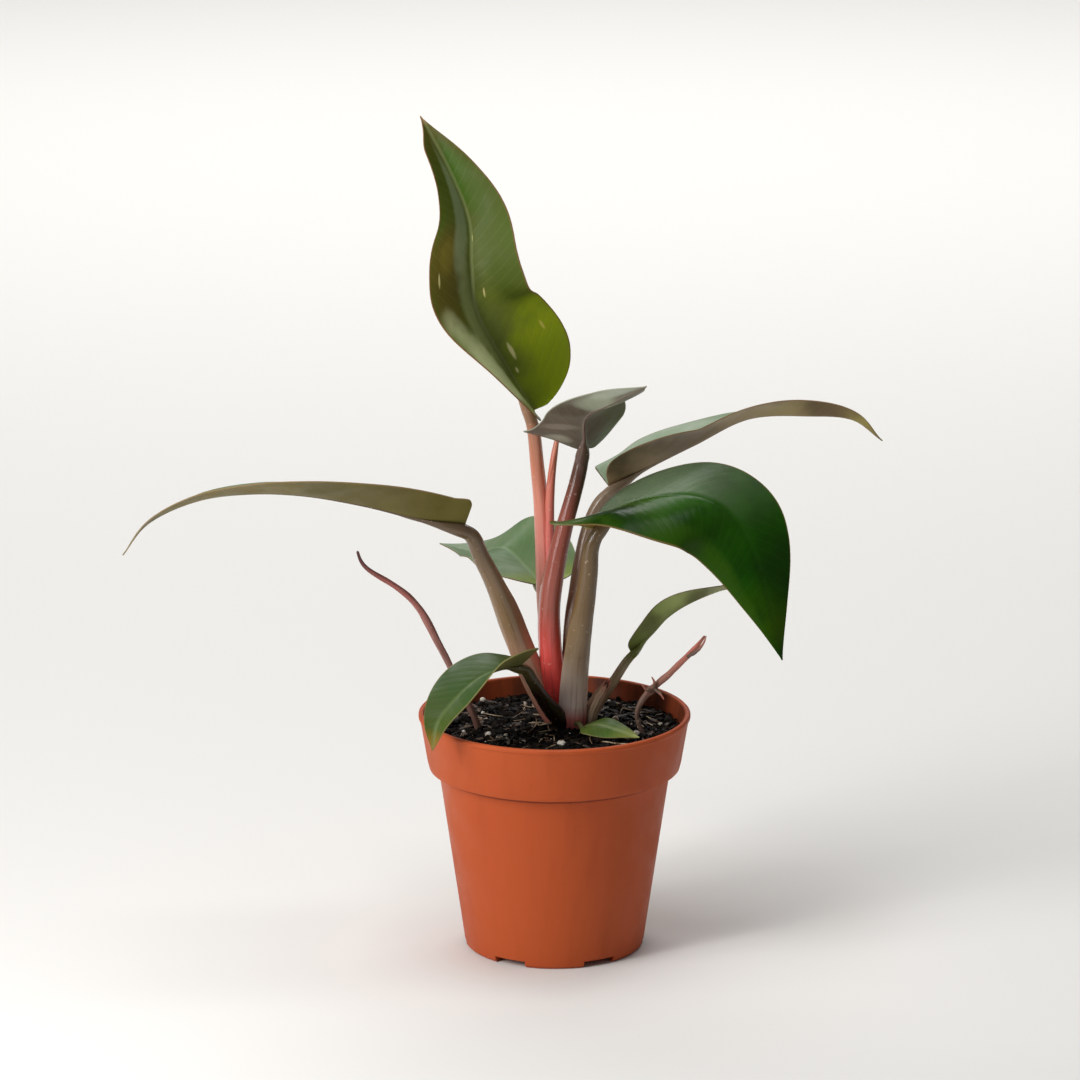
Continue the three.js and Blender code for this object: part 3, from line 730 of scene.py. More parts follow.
def leaf_spine(leaf, rib):
    """One smooth line of centres through a stalk and the midrib it runs into, and the
    midrib's shares"""
    top = leaf["radii"][-1] * MM
    shares = [RIB_END * (i + 1) / RIB_RINGS for i in range(RIB_RINGS)]
    under = []
    for u in [0, *shares]:
        floor, up = groove_floor(leaf, rib, u)
        drop = JOINT_DROP + (RIB_DROP - JOINT_DROP) * smooth(0, 0.12, u)
        under.append(floor - up * drop * rib_radius(top, u))
    ahead, _, _ = blade_axes(leaf, rib, 0)
    lead = under[0] - ahead * JOINT_LEAD * top
    path = Route([*leaf["stalk"], tuple(lead / MM), tuple(under[0] / MM)])
    stalk = [path.at(i / STALK_RINGS) for i in range(STALK_RINGS)]
    line = eased(stalk + under, 40)
    for i, u in enumerate(shares, STALK_RINGS + 1):
        line[i] = line[i].lerp(under[i - STALK_RINGS], smooth(0.02, 0.14, u))
    return line, shares


def blade_mesh(leaf, rib):
    """The blade's sheet with its UV maps: shares along and across, and flat metres"""
    bm = bmesh.new()

    def point_at(x, y):
        u = ((x + 1) / 2) ** ROW_SPREAD
        place = math.copysign(abs(y) ** COLUMN_SPREAD, y)
        across = place * half_width(leaf, int(place > 0), u, rib.length)
        return blade_point(leaf, rib, u, place), (u, place / 2 + 0.5), (u * rib.length, across)

    layers = [bm.loops.layers.uv.new(name) for name in ("shares", "flat")]
    lay_grid(bm, BLADE_ROWS, BLADE_COLUMNS, layers, point_at)
    return bm


def midrib_mesh(leaf, rib, line, shares, swell):
    """The midrib: a ridge that hangs from the sheet, and starts inside the stalk's end"""
    top = leaf["radii"][-1] * MM
    centres = line[STALK_RINGS - LEAD_RINGS:]
    shares = [0] * (LEAD_RINGS + 1) + shares
    axes = []
    drops = []
    for i, (centre, u) in enumerate(zip(centres, shares)):
        floor, up = groove_floor(leaf, rib, u)
        axes.append(axes_at(centres, i, up))
        drops.append((floor - centre).dot(axes[-1][0]))

    def section(share, angle):
        ring = round(share * (len(centres) - 1))
        if ring in (0, len(centres) - 1):
            return 0
        u = shares[ring]
        radius = rib_radius(top, u) * swell(1, angle)
        radius *= 1 + JOINT_WAIST * smooth(0, LEAD_RINGS, ring)
        over = math.cos(angle)
        flare = 1 + RIB_FLARE * hump(abs(angle) - FLARE_ANGLE, FLARE_WIDTH) * smooth(0.02, 0.12, u)
        if over > 0.05 and u > 0:
            flat = min(radius * flare, (drops[ring] + RIB_SINK) / over)
            return radius + (flat - radius) * smooth(0, 0.03, u)
        return radius * flare

    bm = bmesh.new()
    sweep(bm, centres, axes, section, STALK_SIDES)
    return bm


def leaf_coordinates(mat):
    """Shares along and across a blade, then metres along it and out from the midrib"""
    shares = add_node(mat, "UVMap", {}, uv_map="shares").outputs[0]
    flat = add_node(mat, "UVMap", {}, uv_map="flat").outputs[0]
    share_parts = add_node(mat, "SeparateXYZ", {0: shares}).outputs
    flat_parts = add_node(mat, "SeparateXYZ", {0: flat}).outputs
    out = calc(mat, "ABSOLUTE", flat_parts[1])
    return share_parts[0], share_parts[1], flat_parts[0], out


def vein_lines(mat, reach, out):
    """1 on the side veins and 0 between them"""
    lean = calc(mat, "MULTIPLY", out, VEIN_LEAN)
    curl = calc(mat, "MULTIPLY", calc(mat, "POWER", out, 2.0), VEIN_CURL)
    wave = calc(mat, "SUBTRACT", calc(mat, "SUBTRACT", reach, lean), curl)
    turn = calc(mat, "DIVIDE", wave, VEIN_SPACING)
    off = calc(mat, "ABSOLUTE", calc(mat, "SUBTRACT", calc(mat, "FRACT", turn), 0.5))
    return spread(mat, off, 0.5 - VEIN_WIDTH, 0.5)


def blade_material(name, tones, roughness, drift, vein, margin, specular=0.16, veins=0.06,
                   rib=0.4, painted_sheen_half=None, patches=()):
    """Waxy leaf skin: a colour along the blade, patches, veins, midrib and a thin margin, and a painted
    sheen over the left half near the base. Each patch has a place along and across the blade, its reach
    both ways, a colour and a strength; some patches are painted sheen or light."""
    mat = new_material(name, roughness, specular)
    u, side, reach, out = leaf_coordinates(mat)
    place = solid_place(mat)
    shade = ramp(mat, u, tones)
    drifts = spread(mat, mottle(mat, place, 26 * MM), 0.35, 0.65)
    shade = blend(mat, drifts, shade, drift)
    ragged = spread(mat, mottle(mat, place, 14 * MM, 2.0), 0.3, 0.7, -0.22, 0.22)
    for centre_u, centre_side, size_u, size_side, patch, strength in patches:
        away = ragged
        for value, centre, size in ((u, centre_u, size_u), (side, centre_side, size_side)):
            off = calc(mat, "DIVIDE", calc(mat, "SUBTRACT", value, centre), size)
            away = calc(mat, "ADD", away, calc(mat, "MULTIPLY", off, off))
        shade = blend(mat, spread(mat, away, 0.1, 1.3, strength, 0), shade, patch)
    # Painted sheen: the left half near the base is tinted towards grey-green, standing for the
    # reflection of the backdrop.
    if painted_sheen_half:
        tint, strength = painted_sheen_half
        near_base = spread(mat, u, 0.25, 0.6, strength, 0)
        left = calc(mat, "MULTIPLY", spread(mat, side, 0.44, 0.5, 1, 0), near_base)
        shade = blend(mat, left, shade, tint)
    lines = vein_lines(mat, reach, out)
    shade = blend(mat, calc(mat, "MULTIPLY", lines, veins), shade, vein)
    shade = blend(mat, spread(mat, out, 0.3 * MM, 1.6 * MM, rib, 0), shade, vein)
    from_rib = calc(mat, "ABSOLUTE", calc(mat, "SUBTRACT", side, 0.5))
    shade = blend(mat, spread(mat, from_rib, 0.485, 0.497, 0, 0.75), shade, margin)
    bump = relief(mat, mottle(mat, place, 0.9 * MM, 4.0), 0.03 * MM)
    bump = relief(mat, lines, -0.02 * MM, bump)
    gloss = spread(mat, mottle(mat, place, 8 * MM), 0.3, 0.7, roughness - 0.06,
                   roughness + 0.08)
    return finish(mat, shade, gloss, bump)


def stalk_material(name, tones, roughness=0.22, streak=(0.45, "563428"), start=0):
    """Smooth fleshy stalk skin: a colour along it, long streaks and pale flecks"""
    mat = new_material(name, roughness, 0.5)
    uv = add_node(mat, "UVMap", {}).outputs[0]
    parts = add_node(mat, "SeparateXYZ", {0: uv}).outputs
    shade = ramp(mat, parts[0], tones)
    inputs = {"Vector": uv, "Scale": (3, 26, 1), "Location": (3 * start, 0, 0)}
    streaks = mottle(mat, add_node(mat, "Mapping", inputs).outputs[0], 1, 4.0)
    dark = spread(mat, streaks, 0.5, 0.75, 0, streak[0])
    shade = blend(mat, dark, shade, streak[1])
    place = solid_place(mat)
    flecks = spread(mat, mottle(mat, place, 1.6 * MM, 1.0), 0.68, 0.78, 0, 0.35)
    shade = blend(mat, flecks, shade, "d6b8a0")
    bump = relief(mat, streaks, 0.15 * MM)
    bump = relief(mat, mottle(mat, place, 1.0 * MM), 0.03 * MM, bump)
    return finish(mat, shade, None, bump)


def tube_along(centres, radii, up, swell, sides=STALK_SIDES):
    """Closed tube along a row of centres; swell(share, angle) scales its radius"""

    def section(share, angle):
        ends = smooth(0, 0.004, share) * smooth(1, 0.996, share)
        return along(radii, share) * MM * swell(share, angle) * ends

    tube = bmesh.new()
    sweep(tube, centres, ring_axes(centres, up), section, sides)
    bmesh.ops.recalc_face_normals(tube, faces=tube.faces)
    return tube


def stem_tube(points, radii, up, swell, rings, sides):
    """Closed tube along a curve through points"""
    path = Route(points)
    centres = eased([path.at(i / rings) for i in range(rings + 1)], 50)
    return tube_along(centres, radii, up, swell, sides)


def merge(bm, part):
    """Moves a bmesh into another one"""
    mesh = bpy.data.meshes.new("part")
    part.to_mesh(mesh)
    part.free()
    bm.from_mesh(mesh)
    bpy.data.meshes.remove(mesh)


def thicken(sheet, thickness, upper=0):
    """Gives a sheet its thickness, and its upper side another one of its looks"""
    thick = sheet.modifiers.new("thickness", "SOLIDIFY")
    thick.thickness = thickness
    thick.offset = 0
    thick.material_offset = upper
    settle(sheet)


def make_leaf(name, skin, upper, under, **leaf):
    """A stalk and a blade with its midrib, which follow the lines stalk and rib, in mm.

    skin, upper and under are their looks. radii are the stalk's, and sheath is how far up it
    is open and how much its edges swell. face is the way the upper side faces at the base,
    middle and tip. Pairs are for the left and right half: its width (half), tilt (rise), droop
    (sag), how far its base reaches back (lobe) and up (lobe_rise), and the rounding there
    (corner). wave is the height of the margin's waves and where they start. spurs are bulges
    of the margin: half, place, reach and size."""
    rib = Route(leaf["rib"])
    line, shares = leaf_spine(leaf, rib)
    _, up, _ = blade_axes(leaf, rib, 0)
    sheath, wing = leaf["sheath"]

    def swell(share, angle):
        open_part = 1 - smooth(sheath - SHEATH_FADE, sheath, share)
        wings = wing * open_part * hump(abs(angle) - WING_ANGLE, WING_WIDTH)
        groove = (STALK_GROOVE + SHEATH_GROOVE * open_part) * hump(angle, 0.4)
        lumps = STALK_LUMPS * noise.noise(Vector((share * 9, angle, len(leaf["stalk"]))))
        waist = JOINT_WAIST * smooth(1 - LEAD_RINGS / STALK_RINGS, 1, share)
        return (1 + wings - groove + lumps) * (1 - waist)

    upper_skin = blade_material(name + "_upper", **upper)
    under_skin = blade_material(name + "_under", **under)
    sheet = bare_piece(name, blade_mesh(leaf, rib), [under_skin, upper_skin])
    thicken(sheet, BLADE_THICKNESS, 1)
    whole = bmesh.new()
    whole.from_mesh(sheet.data)
    ridge = midrib_mesh(leaf, rib, line, shares, swell)
    for face in ridge.faces:
        face.material_index = 2
    merge(whole, ridge)
    bmesh.ops.recalc_face_normals(whole, faces=whole.faces)
    whole.to_mesh(sheet.data)
    whole.free()
    rib_tones = [(0, skin[-1][1]), (1, skin[-1][1])]
    sheet.data.materials.append(stalk_material(name + "_midrib", rib_tones, start=1))
    show_edges(sheet, BLADE_SHARP_ANGLE)
    stand_for(sheet, name + "_blade")

    tube = tube_along(line[:STALK_RINGS + 1], leaf["radii"], up, swell)
    stalk_skin = stalk_material(name + "_petiole", skin)
    add_piece(name + "_petiole", tube, stalk_skin, name + "_stalk")


# Leaf A: the youngest open leaf, upright on a salmon-pink stalk, olive with lime where light
# comes through it, and a few cream flecks.
make_leaf(
    "leaf_a",
    stalk=[(1, 12, 106), (-2, 16, 130), (-4, 17, 153), (-5, 17, 176), (-6, 15, 199), (-8, 13, 218)],
    radii=[4.6, 4.2, 3.6, 3.2, 2.8], sheath=(0.45, 0.25),
    skin=[(0, "c87d70"), (0.25, "d4947d"), (0.55, "e58f80"), (0.8, "ce8066"), (1, "966e54")],
    rib=[(-9, 11, 240), (-22, 6, 263), (-34, 2, 287), (-36, 0, 307), (-37, 2, 326), (-45, 5, 347),
         (-58, 14, 370)],
    face=[(0.8, -0.4, 0.45), (0.1, -0.75, 0.7), (0.45, -0.85, 0.35)], half=(28.5, 28.5), rise=(35, 31),
    sag=(0.1, -0.1), lobe=(0.5, 1.5), lobe_rise=(1.5, 1.5), wave=(3.8, 0.15), corner=(2, 9),
    spurs=[(1, 0.1, 0.26, 4), (0, 0.91, 0.14, 5)],
    upper=dict(
        tones=[(0, "768022"), (0.3, "626c28"), (0.6, "4e5a1a"), (0.8, "3e4c0a"), (0.965, "545016"),
               (1, "c47c62")],
        roughness=0.4, drift="4c561c", vein="848c5c", margin="805834", rib=0.5,
        patches=[
            # The lime patch at the right of the base is painted light shining through the blade. The
            # pale grey-green ones at (0.22, 0.14) and (0.68, 0.36) are painted sheen, and the one at
            # (0.34, 0.4) is painted light over the shade in the trough beside the midrib.
            (0.24, 0.66, 0.24, 0.2, "747e2e", 0.7), (0.1, 0.95, 0.28, 0.42, "98a810", 0.9),
            (0.5, 0.2, 0.17, 0.26, "564c18", 0.9), (0.8, 0.68, 0.14, 0.22, "385c06", 0.75),
            (0.62, 0.82, 0.26, 0.24, "445410", 0.7), (0.68, 0.36, 0.28, 0.1, "808c68", 0.6),
            (0.34, 0.4, 0.2, 0.1, "8a925c", 0.7), (0.22, 0.14, 0.19, 0.2, "c4ca96", 0.85),
            (0.55, 0.2, 0.06, 0.09, "746824", 0.4), (0.2, 0.6, 0.035, 0.018, "ded696", 1),
            (0.14, 0.565, 0.012, 0.012, "ded696", 1), (0.43, 0.6, 0.02, 0.01, "c4b878", 0.9),
            (0.22, 0.88, 0.02, 0.012, "ccbe5a", 0.9), (0.49, 0.11, 0.02, 0.012, "beb478", 0.8),
            (0.6, 0.52, 0.012, 0.008, "beb478", 0.7),
        ],
    ),
    under=dict(
        tones=[(0, "74643e"), (1, "686040")], roughness=0.5, drift="625c3a", vein="8c785c",
        margin="805a3c",
    ),
)


# Leaf B: a young cupped leaf that leans to the front, so its grey-brown underside shows. Its
# stalk is crimson at the foot and brown at the top.
make_leaf(
    "leaf_b",
    stalk=[(1, 5, 108), (-2, 2, 139), (-2, 0, 157), (1, 0, 176), (5, 2, 193), (10, 5, 210)],
    radii=[5.6, 4.8, 4.5, 3.6, 3.1], sheath=(0.6, 0.22),
    skin=[(0, "e84642"), (0.22, "da4e48"), (0.4, "9f5244"), (0.75, "884a3e"), (0.9, "583a2e"),
          (1, "5c463c")],
    rib=[(12, 6, 224), (13, -2, 230.5), (13.5, -12, 242.5), (24, -27, 252), (39, -41, 263)],
    face=[(-0.1, 0.4, 0.9), (-0.15, 0.7, 0.7), (-0.3, 0.85, 0.4)], half=(21.5, 18), rise=(25, 11),
    sag=(-0.2, 0), lobe=(9, 2), lobe_rise=(0.5, 5), lobe_curl=0.6, wave=(1.2, 0.16), corner=(2, 2),
    spurs=[(1, 0.13, 0.2, 12.5), (0, 0.78, 0.26, 5)],
    upper=dict(
        tones=[(0, "869270"), (1, "96a490")], roughness=0.42, drift="7c8a6c", vein="a0a488",
        margin="7a604e",
    ),
    under=dict(
        tones=[(0, "6e6056"), (0.3, "6e6256"), (0.5, "807e6e"), (1, "868878")], roughness=0.38,
        drift="685e52", vein="968a7c", margin="9c9e8c", veins=0.1,
        patches=[
            (0.5, 0, 0.6, 0.42, "68684a", 0.95), (0.13, 0.72, 0.06, 0.12, "a8a492", 0.7),
            (0.27, 0.75, 0.03, 0.24, "8e8476", 0.7), (0.42, 0.75, 0.07, 0.3, "584c40", 0.75),
            (0.62, 0.7, 0.14, 0.3, "a0a690", 0.8), (0.82, 0.85, 0.2, 0.2, "acb2a0", 0.7),
        ],
    ),
)


# Leaf C: a long leaf held out to the back right, folded to a keel. The outer half shows its
# brown underside, and the inner half its waxy upper side.
make_leaf(
    "leaf_c",
    stalk=[(8, 15, 106), (8, 20, 134), (10, 23, 156), (14, 25, 179), (18, 26, 192)],
    radii=[5, 4.2, 3.8, 3.5, 3], sheath=(0.55, 0.2),
    skin=[(0, "754f43"), (0.3, "816a56"), (0.7, "836e5b"), (1, "83715b")],
    rib=[(24, 28, 202), (41, 31, 210), (62, 41, 218), (86, 44, 229), (113, 49, 229), (133, 49, 227),
         (146, 51, 217)],
    face=[(-0.4, 0.35, 0.85), (-0.1, 0.2, 1), (0.45, 0.5, 0.75)], half=(23, 23.5), rise=(24, 35),
    sag=(0.1, 0.15), lobe=(1.5, -1), lobe_rise=(9, 2), wave=(3.4, 0.15), corner=(2, 6),
    # The upper side's pale grey-green tones are the leaf's green with painted sheen, the backdrop's
    # reflection, laid into them.
    upper=dict(
        tones=[(0, "89977e"), (0.6, "808e73"), (1, "737748")], roughness=0.36, drift="7c8e70",
        vein="92a082", margin="786242",
    ),
    under=dict(
        tones=[(0, "8a7756"), (0.5, "958562"), (0.8, "9d8f5c"), (1, "8c8540")], roughness=0.46,
        drift="6a5a3e", vein="927a62", margin="866848",
    ),
)


# Leaf D: the broadest leaf, deep glossy green, which arches out to the right and hangs down at
# its tip. Its stout tan stalk is whitish pink at the foot.
make_leaf(
    "leaf_d",
    stalk=[(8, 2, 99), (9, -1, 122), (12, -5, 150), (15, -8, 172)], radii=[6.4, 5.6, 4.6, 3.2],
    sheath=(0.65, 0.2),
    skin=[(0, "782c2e"), (0.06, "c4706a"), (0.13, "f0d8d0"), (0.24, "ceb8a6"), (0.38, "866e50"),
          (0.6, "6e5634"), (1, "624e32")],
    rib=[(17, -8, 192), (27, -8, 201), (46, -10, 207), (65, -14, 207), (77, -18, 200), (86, -24, 186),
         (93.5, -30, 162), (98.5, -35.5, 140)],
    face=[(0, 0.25, 0.95), (0.15, -0.5, 0.85), (0.65, -0.7, 0.15)], half=(29, 30), rise=(1, 1),
    sag=(0.05, 0.4), lobe=(5.5, 10.5), lobe_rise=(5.5, 18), wave=(1.4, -0.32), corner=(2, 2),
    upper=dict(
        tones=[(0, "3f5812"), (0.3, "264e07"), (0.7, "133f03"), (1, "374e04")], roughness=0.26,
        specular=0.08, drift="143206", vein="3c5828", margin="7a623a", rib=0.05,
        # The grey-green over the left half near the base is painted sheen, the backdrop's reflection on
        # the far half.
        painted_sheen_half=("607054", 0.85), patches=[(0.55, 0.95, 0.4, 0.16, "2c4c0c", 0.8)],
    ),
    under=dict(
        tones=[(0, "70602c"), (1, "606034")], roughness=0.46, drift="60542c", vein="887850",
        margin="7a623a",
    ),
)


# Leaf E: the longest leaf, arched out to the left and seen from below, olive underneath. Its
# tan stalk widens to a pink-edged sheath round the crown.
make_leaf(
    "leaf_e",
    stalk=[(1, 7, 101), (-6, 6, 113), (-14, 4, 131), (-21, 0, 151), (-27, -4, 168), (-34, -8, 183)],
    radii=[5.4, 5.2, 5, 4, 3.2], sheath=(0.7, 0.25),
    skin=[(0, "c8766a"), (0.2, "cc9c82"), (0.5, "907456"), (1, "5e4c38")],
    rib=[(-39, -11, 194.6), (-54, -14, 197), (-82, -22, 206), (-108, -28, 212), (-131, -29, 213),
         (-154, -30, 210), (-176, -33, 200), (-186, -39, 188)],
    face=[(0.1, 0.55, 0.85), (0, 0, 1), (-0.45, 0.15, 0.9)], half=(23.5, 23.5), rise=(31, 13),
    sag=(0, 0.2), lobe=(0.5, 0.5), lobe_rise=(-0.5, 3), lobe_curl=0.3, wave=(0.2, -0.11), corner=(2, 2),
    spurs=[(0, 0, 0.06, 4)],
    upper=dict(
        tones=[(0, "546c3e"), (1, "708268")], roughness=0.38, drift="4e6638", vein="8a986e",
        margin="7e6842",
    ),
    under=dict(
        tones=[(0, "706836"), (0.35, "665c2a"), (0.7, "786a3a"), (0.85, "7c744e"), (1, "7a7a74")],
        roughness=0.48, drift="5c5426", vein="827448", margin="846c48",
    ),
)


# Leaf F: a grey-green leaf behind the others, pointing back and to the left. Its stalk is short
# and brown, and leaves the crown at the back.
make_leaf(
    "leaf_f",
    stalk=[(4, 16, 104), (-1, 21, 116), (-2, 28, 130), (-3, 34, 144)], radii=[4, 3.4, 3, 2.6],
    sheath=(0.5, 0.2), skin=[(0, "925c4e"), (0.5, "765e42"), (1, "706c3e")],
    rib=[(-6, 40, 154), (-13, 51, 159), (-22, 64, 164), (-36, 82, 158), (-52, 92, 159)],
    face=[(0.25, -0.4, 0.9), (-0.1, -0.45, 0.9), (0.05, 0.15, 1)], half=(23, 24.5), rise=(24, 4),
    sag=(0.1, -0.05), lobe=(4, 4), lobe_rise=(2, 3), wave=(1.3, 0.7), corner=(4, 4),
    upper=dict(
        tones=[(0, "7b872d"), (0.15, "5c7048"), (0.7, "657755"), (1, "7b8970")], roughness=0.42,
        drift="4e683e", vein="7a8e6a", margin="787854",
    ),
    under=dict(
        tones=[(0, "68643e"), (1, "62684c")], roughness=0.48, drift="5c583a", vein="847c5c",
        margin="766042",
    ),
)


# Leaf G: an older leaf on a short dark stalk, hanging over the rim at the front left with a
# yellowing tip.
make_leaf(
    "leaf_g",
    stalk=[(5, 1, 100), (-1, -4, 108), (-6, -10, 117), (-10, -14, 125)], radii=[4.4, 3.6, 2.8, 2.3],
    sheath=(0.45, 0.15), skin=[(0, "221611"), (0.6, "2e2017"), (1, "544e2a")],
    rib=[(-15, -17, 133), (-22, -22, 133), (-33, -29, 130), (-44, -41, 123), (-51, -50, 115),
         (-53, -52, 104)],
    face=[(-0.1, -0.05, 1), (-0.25, -0.35, 0.9), (-0.15, -0.95, 0.3)], half=(18.5, 18.5), rise=(23, 14),
    sag=(-0.15, 0.1), lobe=(4, 4.5), lobe_rise=(4, -0.5), wave=(1.1, 0.04), corner=(3, 3),
    upper=dict(
        tones=[(0, "3f511e"), (0.5, "334d1c"), (0.85, "43511e"), (1, "997023")], roughness=0.4,
        drift="324a1e", vein="687846", margin="928c56",
    ),
    under=dict(
        tones=[(0, "70703c"), (1, "828456")], roughness=0.48, drift="64663a", vein="949068",
        margin="928c56",
    ),
)


# Leaf H: a narrow leaf on a thin tan stalk, arching out low on the right. It is folded along its
# midrib, so the light green of its underside shows.
make_leaf(
    "leaf_h",
    stalk=[(13, 10.5, 97), (17, 12, 103), (22, 14, 110), (27, 16, 117), (31, 18, 123)],
    radii=[2.9, 2.5, 2.2, 1.9], sheath=(0.4, 0.2),
    skin=[(0, "865e46"), (0.3, "ac9270"), (0.8, "b2a280"), (1, "707c30")],
    rib=[(34, 19, 129), (43, 19, 137), (50, 21, 144), (60, 23, 150), (80, 34, 154), (86, 38, 151),
         (93, 36, 148)],
    face=[(-0.65, 0.3, 0.7), (-0.15, 0.55, 0.8), (0.3, 0.35, 0.9)], half=(9, 10), rise=(36, 27),
    sag=(0.2, 0), lobe=(0.5, 0), lobe_rise=(0, 0.5), wave=(1.3, -0.14), corner=(3.5, 4),
    upper=dict(
        tones=[(0, "587454"), (1, "6a8064")], roughness=0.4, drift="4e684a", vein="849676",
        margin="7a7454",
    ),
    under=dict(
        tones=[(0, "778e34"), (0.4, "9ca966"), (1, "a5a084")], roughness=0.46, drift="5e6232",
        vein="7c7c54", margin="7a6a4c",
    ),
)


# Leaf I: a small first leaf that lies just over the soil at the front, pale along its margin. Its
# thin stalk starts at the crown, under leaf D's.
make_leaf(
    "leaf_i",
    stalk=[(7, 1, 101), (9, -3, 102), (11, -6, 102.5)], radii=[1.7, 1.3, 1.1], sheath=(0.3, 0.1),
    skin=[(0, "4a342a"), (1, "68683c")],
    rib=[(13, -9.5, 102.5), (19, -13.5, 104.5), (28, -19, 103.5), (37, -25, 101.8)],
    face=[(0, -0.15, 1), (0, -0.35, 1), (0.1, -0.5, 0.9)], half=(7.5, 7.5), rise=(-2, -4),
    sag=(0.1, 0.15), lobe=(0.5, 0.5), lobe_rise=(0, 0), wave=(0.3, 0.14), corner=(2.5, 2.5),
    upper=dict(
        tones=[(0, "5c6a2a"), (0.5, "496726"), (1, "8f9345")], roughness=0.42, drift="485a22",
        vein="96a268", margin="b2ac70",
    ),
    under=dict(
        tones=[(0, "767846"), (1, "8c8c58")], roughness=0.5, drift="6e6e42", vein="96926a",
        margin="b2ac70",
    ),
)


# Crown: the short thick stem, half buried, from which all the stalks rise. Old leaf scars ring
# it under their sheaths.
FRONT = Vector((0, -1, 0))
SCAR_COUNT = 7
SCAR_DEPTH = 0.06
CROWN_LUMPS = 0.08


def crown_swell(share, angle):
    scars = math.cos(2 * math.pi * (SCAR_COUNT * share + 0.1 * math.cos(angle)))
    lumps = noise.noise(Vector((5 * share, math.cos(angle), math.sin(angle))))
    return 1 + SCAR_DEPTH * scars + CROWN_LUMPS * lumps


crown_skin = stalk_material("crown_skin", [
    (0, "3a261e"), (0.6, "5c3a30"), (1, "885c4e"),
], 0.5)
crown_bm = stem_tube([(6, 10, 66), (6.5, 9.5, 84), (7, 9, 99), (6, 10, 108), (4, 11, 115)],
                     [3, 6, 8, 6.5, 3.5], FRONT, crown_swell, 90, 36)
add_piece("crown_stem", crown_bm, crown_skin, "crown")


# New leaf: the youngest leaf, still rolled into a salmon-pink spear, which leaves the sheath of
# leaf A's stalk. The outer edge of its blade winds up it as a fine seam.
SEAM_TURNS = 1.3
SEAM_STEP = 0.16
SEAM_EDGE = 0.94


def spear_swell(share, angle):
    wound = (angle / (2 * math.pi) - SEAM_TURNS * share) % 1
    return 1 + SEAM_STEP * (wound * smooth(1, SEAM_EDGE, wound) - 0.5)


spear_skin = stalk_material("new_leaf_pink", [
    (0, "cc605a"), (0.45, "cc685e"), (0.75, "c6705a"), (1, "b67858"),
], 0.32)
spear_bm = stem_tube([(-3, 15, 138), (-1, 13, 158), (-2, 12, 181), (-2, 11, 200), (-1, 12, 213),
                      (1, 15, 226), (3, 19, 235)],
                     [2.4, 2.4, 2.2, 2, 1.9, 1.5, 0.4], FRONT, spear_swell, 140, 64)
add_piece("rolled_new_leaf", spear_bm, spear_skin, "new_leaf_spear")


# Dry sheath: the brown papery sheath of a fallen leaf, curled lengthwise and torn at its tip.
# It is a pleated sheet, bent round the line it stood along and given the thickness of paper.
SHEATH_PATH = Route([(15, 3, 96), (16, 2.5, 105), (18, 2, 110), (21, 3, 115), (24, 3, 120)])
SHEATH_RADII = [2.5, 2.9, 2.8, 2.3, 1.2]
SHEATH_TURN = 1.15
SHEATH_STEPS = 48
SHEATH_THICKNESS = 0.35 * MM
SHEATH_TIP = 0.98
TIP_ARCH = 0.18
TEAR_DEPTH = 0.12
TEAR_WAVES = 0.05
PLEAT_COUNT = 13
PLEAT_DEPTH = 0.09
SHEATH_SPREAD = 0.12
sheath_skin = stalk_material("dry_sheath", [
    (0, "68503e"), (0.4, "baa084"), (0.75, "b49076"), (1, "a0503e"),
], 0.6, (0.95, "402c22"))


def sheath_point(length, across):
    torn = TEAR_WAVES * math.sin(9 * across) + TEAR_DEPTH * noise.noise(Vector((6 * across, 0, 3)))
    share = (length + 1) / 2 * (SHEATH_TIP - TIP_ARCH * across**2 + torn)
    angle = math.pi * SHEATH_TURN * across
    pleat = 1 + PLEAT_DEPTH * math.cos(PLEAT_COUNT * angle) + SHEATH_SPREAD * across
    radius = along(SHEATH_RADII, share) * MM * pleat
    ahead = SHEATH_PATH.ahead(share)
    side = ahead.cross(FRONT).normalized()
    out = side * math.sin(angle) - side.cross(ahead) * math.cos(angle)
    return SHEATH_PATH.at(share) + out * radius, (share, across / 2 + 0.5)


sheath_bm = bmesh.new()
sheath_uv = sheath_bm.loops.layers.uv.new("UVMap")
lay_grid(sheath_bm, SHEATH_STEPS, SHEATH_STEPS, [sheath_uv], sheath_point)
dry_sheath = bare_piece("papery_sheath", sheath_bm, [sheath_skin])
thicken(dry_sheath, SHEATH_THICKNESS)
stand_for(dry_sheath, "dry_sheath")


# Withered stalks: two thin stalks whose blades have died back, shrunken, wrinkled and brown,
# still pink towards their tips. The right one is knotted half way up, with curled scraps.
WRINKLE_DEPTH = 0.22
RIDGE_COUNT = 5
RIDGE_DEPTH = 0.08
KNOT_PLACE = 0.455
KNOT_LENGTH = 0.025
KNOT_SWELL = 0.5
SCRAPS = [
    [(58, -5.5, 133), (61.5, -6, 135), (65.5, -6.5, 139.5), (66.5, -6, 143)],
    [(43, -8, 118), (40, -9.5, 119.5), (38, -10, 122)],
    [(44, -8, 119), (46.5, -10, 117.5), (48, -11, 115)],
    [(43.5, -7, 118.5), (44, -8.5, 122), (42.5, -9, 125)],
]


def withered_swell(share, angle):
    round_about = Vector((14 * share, 1.6 * math.cos(angle), 1.6 * math.sin(angle)))
    ridges = math.cos(RIDGE_COUNT * angle + 4 * share)
    return 1 + WRINKLE_DEPTH * noise.noise(round_about) + RIDGE_DEPTH * ridges


def knotted_swell(share, angle):
    return withered_swell(share, angle) + KNOT_SWELL * hump(share - KNOT_PLACE, KNOT_LENGTH)


